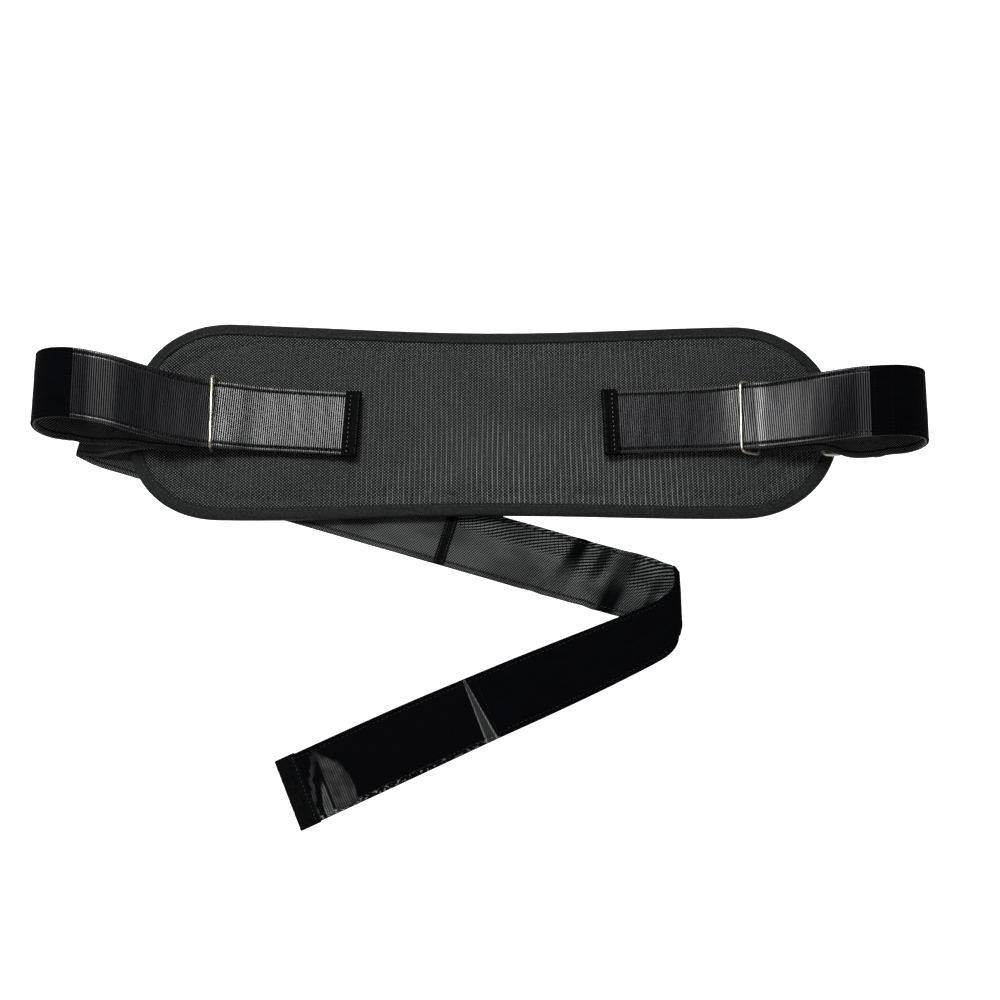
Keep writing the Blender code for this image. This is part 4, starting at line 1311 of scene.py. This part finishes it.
def outer_rows(run, wide, depth):
    """The outer strap in rows that are slanted at the crease and square at the free end."""
    share = ease(run, INNER_LENGTH + 8.0 * MM, INNER_LENGTH + 120.0 * MM)
    return outer_place(run + FAR_SKEW * (1.0 - share) * wide, wide, depth)


def patch_place(run, wide, depth):
    """Cloth on the inner strap's upper side, where depth counts outwards from it."""
    return inner_place(run, -wide, -depth)


def end_place(run, wide, depth):
    """Cloth that wraps the cut end: along the under face, round the end and back on top."""
    out = END_RADIUS + depth
    angle = np.clip((run - END_WRAP) / END_RADIUS, 0.0, math.pi)
    shift = np.where(run < END_WRAP, run - END_WRAP, -np.maximum(run - END_WRAP - END_TURN, 0.0))
    ahead = INNER_LENGTH + OUTER_LENGTH - 1.6 * MM + shift + out * np.sin(angle)
    return outer_place(ahead, wide, STRAP_MIDDLE - out * np.cos(angle))


def add_inner():
    """The anchor, and the inner strap that rides between the two folds."""
    rows = np.concatenate((spaced(-ANCHOR_LENGTH - NEAR_TURN, -NEAR_TURN, ROW)[:-1],
                           spaced(-NEAR_TURN, 0.0, 0.2 * MM)))
    anchor = Piece("closure_anchor_cloth")
    strap(anchor, anchor_place, rows, STRAP_WIDTH, WEB_LOW, WEB_HIGH, "webbing")
    sew_edges(anchor, anchor_place, -ANCHOR_LENGTH, -2.0 * MM, WEB_HIGH)
    anchor = anchor.build("webbing", "closure_anchor")
    level = NEAR_FOLD + PANEL
    level + UP * 0.10 * MM
    level - UP * 0.12 * MM
    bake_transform(anchor)

    inner = Piece("closure_inner_cloth")
    rows = spaced(0.0, INNER_LENGTH, ROW)
    strap(inner, inner_rows, rows, STRAP_WIDTH, WEB_LOW, WEB_HIGH, "pulled_webbing")
    sew_edges(inner, inner_place, 20.0 * MM, PATCH_ALONG, WEB_LOW)
    sew_edges(inner, inner_place, PATCH_ALONG + PATCH_LENGTH, INNER_LENGTH - 12.0 * MM, WEB_LOW)
    inner.build("webbing", "closure_inner_webbing", body="closure_inner")

    pile = Piece("closure_inner_pile")
    rows = spaced(0.5 * MM, INNER_LENGTH, ROW)
    strap(pile, inner_rows, rows, STRAP_WIDTH, PILE_LOW, PILE_HIGH, "velvet_tape", soft)
    sew_edges(pile, inner_place, 20.0 * MM, INNER_LENGTH - 15.0 * MM, PILE_HIGH - 0.3 * MM)
    pile.build("velvet_tape", "closure_inner_velvet", body="closure_inner")

    patch = Piece("closure_seam_tape")
    rows = spaced(PATCH_ALONG, PATCH_ALONG + PATCH_LENGTH, 0.5 * MM)
    strap(patch, patch_place, rows, STRAP_WIDTH + 0.6 * MM, 0.15 * MM, 1.05 * MM, "end_tape", columns=21)
    for run in (PATCH_ALONG + 1.3 * MM, PATCH_ALONG + PATCH_LENGTH - 1.3 * MM):
        sew_across(patch, patch_place, run, 24.0 * MM, 1.1 * MM, 1.9 * MM, 2.6 * MM)
    patch.build("binding_tape", "closure_seam_patch", body="closure_inner")


def add_outer():
    """The strap past the far fold, its tapes and its bound end."""
    start = INNER_LENGTH
    turned = start + FAR_TURN
    end = start + OUTER_LENGTH
    bound = end - END_BINDING_LENGTH
    hook_start = bound - HOOK_LENGTH - HOOK_LEAD
    web_end = end - 1.2 * MM
    rows = np.concatenate((
        spaced(start, turned, 0.2 * MM),
        spaced(turned, turned + 40.0 * MM, 0.5 * MM)[1:],
        spaced(turned + 40.0 * MM, web_end, ROW)[1:],
    ))
    outer = Piece("closure_outer_cloth")
    strap(outer, outer_rows, rows, STRAP_WIDTH, WEB_LOW, WEB_HIGH, "webbing")
    sew_edges(outer, outer_place, start + 20.0 * MM, web_end - END_BINDING_LENGTH, WEB_LOW)
    pile = Piece("closure_outer_pile")
    strap(pile, outer_rows, rows[rows < hook_start], STRAP_WIDTH, PILE_LOW, PILE_HIGH, "velvet_tape", soft)
    sew_edges(pile, outer_place, start + 14.0 * MM, hook_start, PILE_HIGH - 0.22 * MM, material="grey_thread")
    level = FAR_FOLD + PANEL
    for layer in (outer.build("webbing", "closure_outer_webbing"),
                  pile.build("velvet_tape", "closure_outer_velvet")):
        level - UP * 0.40 * MM
        level - UP * 0.12 * MM
        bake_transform(layer)

    hook = Piece("closure_hook_cloth")
    rows = spaced(hook_start + 0.05 * MM, bound + 2.0 * MM, ROW)
    strap(hook, outer_rows, rows, STRAP_WIDTH, PILE_LOW, PILE_HIGH, "hook_tape", soft)
    sew_edges(hook, outer_place, hook_start + 2.0 * MM, bound, PILE_HIGH - 0.22 * MM, material="grey_thread")
    hook.build("hook_tape", "closure_hook_tape", body="closure_outer")

    relief = creased((
        (END_SEAM, 0.6 * MM, 0.50 * MM), (END_TOTAL - 6.6 * MM, 0.9 * MM, 0.50 * MM),
        (END_TOTAL - 4.4 * MM, 1.3 * MM, -0.35 * MM),
    ), 0.12 * MM, (9.0 * MM, 5.0 * MM))
    wrap = Piece("closure_end_tape")
    strap(wrap, end_place, spaced(0.0, END_TOTAL, 0.3 * MM), STRAP_WIDTH + 1.2 * MM, 0.0, FOLD_CLOTH,
          "end_tape", relief, columns=25)
    sew_across(wrap, end_place, END_SEAM, 24.0 * MM, FOLD_CLOTH - 0.2 * MM)
    wrap.build("binding_tape", "closure_end_binding", body="closure_outer")


add_inner()
add_outer()


# ---- Floor, light and camera ----

FLOOR_DROP = 0.36
FLOOR_HALF = 6.0
FLOOR_GLOW = 1.0
ROOM_LIGHT = 0.12
LENS_MM = 42.5
SENSOR_MM = 36.0
CAMERA_AIM = (8.36 * MM, -62.8 * MM, 0.0)
CAMERA_RANGE = 0.9
CAMERA_ELEVATION = math.radians(72.0)


def place_in_scene(thing, location, target):
    """Put a light or camera in the scene, looking at the target."""
    thing.location = location
    thing.rotation_mode = "QUATERNION"
    thing.rotation_quaternion = (Vector(target) - thing.location).to_track_quat("-Z", "Y")
    bpy.context.scene.collection.objects.link(thing)


def add_floor():
    mesh = bpy.data.meshes.new("floor")
    corners = [(-1.0, -1.0), (1.0, -1.0), (1.0, 1.0), (-1.0, 1.0)]
    mesh.from_pydata([(FLOOR_HALF * x, FLOOR_HALF * y, -FLOOR_DROP) for x, y in corners], [], [(0, 1, 2, 3)])
    material = bpy.data.materials.new("floor")
    material.use_nodes = True
    shader = material.node_tree.nodes["Principled BSDF"]
    feed(shader.inputs["Base Color"], (0.92, 0.92, 0.92))
    feed(shader.inputs["Roughness"], 0.9)
    feed(shader.inputs["Specular IOR Level"], 0.1)
    feed(shader.inputs["Emission Color"], (1.0, 1.0, 1.0))
    feed(shader.inputs["Emission Strength"], FLOOR_GLOW)
    mesh.materials.append(material)
    floor = bpy.data.objects.new("floor", mesh)
    bpy.context.scene.collection.objects.link(floor)


def add_light(name, location, target, size, power):
    data = bpy.data.lights.new(name, "AREA")
    data.shape = "RECTANGLE"
    data.size, data.size_y = size
    data.energy = power
    place_in_scene(bpy.data.objects.new(name, data), location, target)


def add_camera():
    data = bpy.data.cameras.new("camera")
    data.lens = LENS_MM
    data.sensor_width = SENSOR_MM
    camera = bpy.data.objects.new("camera", data)
    aim = Vector(PANEL + CAMERA_AIM)
    away = Vector((0.0, -math.cos(CAMERA_ELEVATION), math.sin(CAMERA_ELEVATION)))
    place_in_scene(camera, aim + CAMERA_RANGE * away, aim)
    bpy.context.scene.camera = camera


def add_world():
    """A white room to look at, but a dim one to be lit by, so that black cloth stays black."""
    world = bpy.data.worlds.new("studio")
    world.use_nodes = True
    tree = world.node_tree
    background = tree.nodes["Background"]
    background.inputs[0].default_value = (1.0, 1.0, 1.0, 1.0)
    path = tree.nodes.new("ShaderNodeLightPath")
    strength = tree.nodes.new("ShaderNodeMapRange")
    strength.inputs["To Min"].default_value = ROOM_LIGHT
    strength.inputs["To Max"].default_value = 1.0
    tree.links.new(path.outputs["Is Camera Ray"], strength.inputs["Value"])
    tree.links.new(strength.outputs[0], background.inputs[1])
    bpy.context.scene.world = world


add_floor()
add_world()
add_light("key", (-0.42, 0.62, 1.25), (0.0, 0.05, 0.0), (0.8, 0.30), 22.0)
add_light("strip", (0.42, 0.54, 1.25), (0.15, 0.0, 0.0), (0.09, 0.40), 1.5)
add_light("fill", (0.3, -1.0, 1.1), (0.0, 0.0, 0.0), (1.2, 0.5), 5.0)
add_camera()
bpy.context.scene.view_settings.view_transform = "Standard"
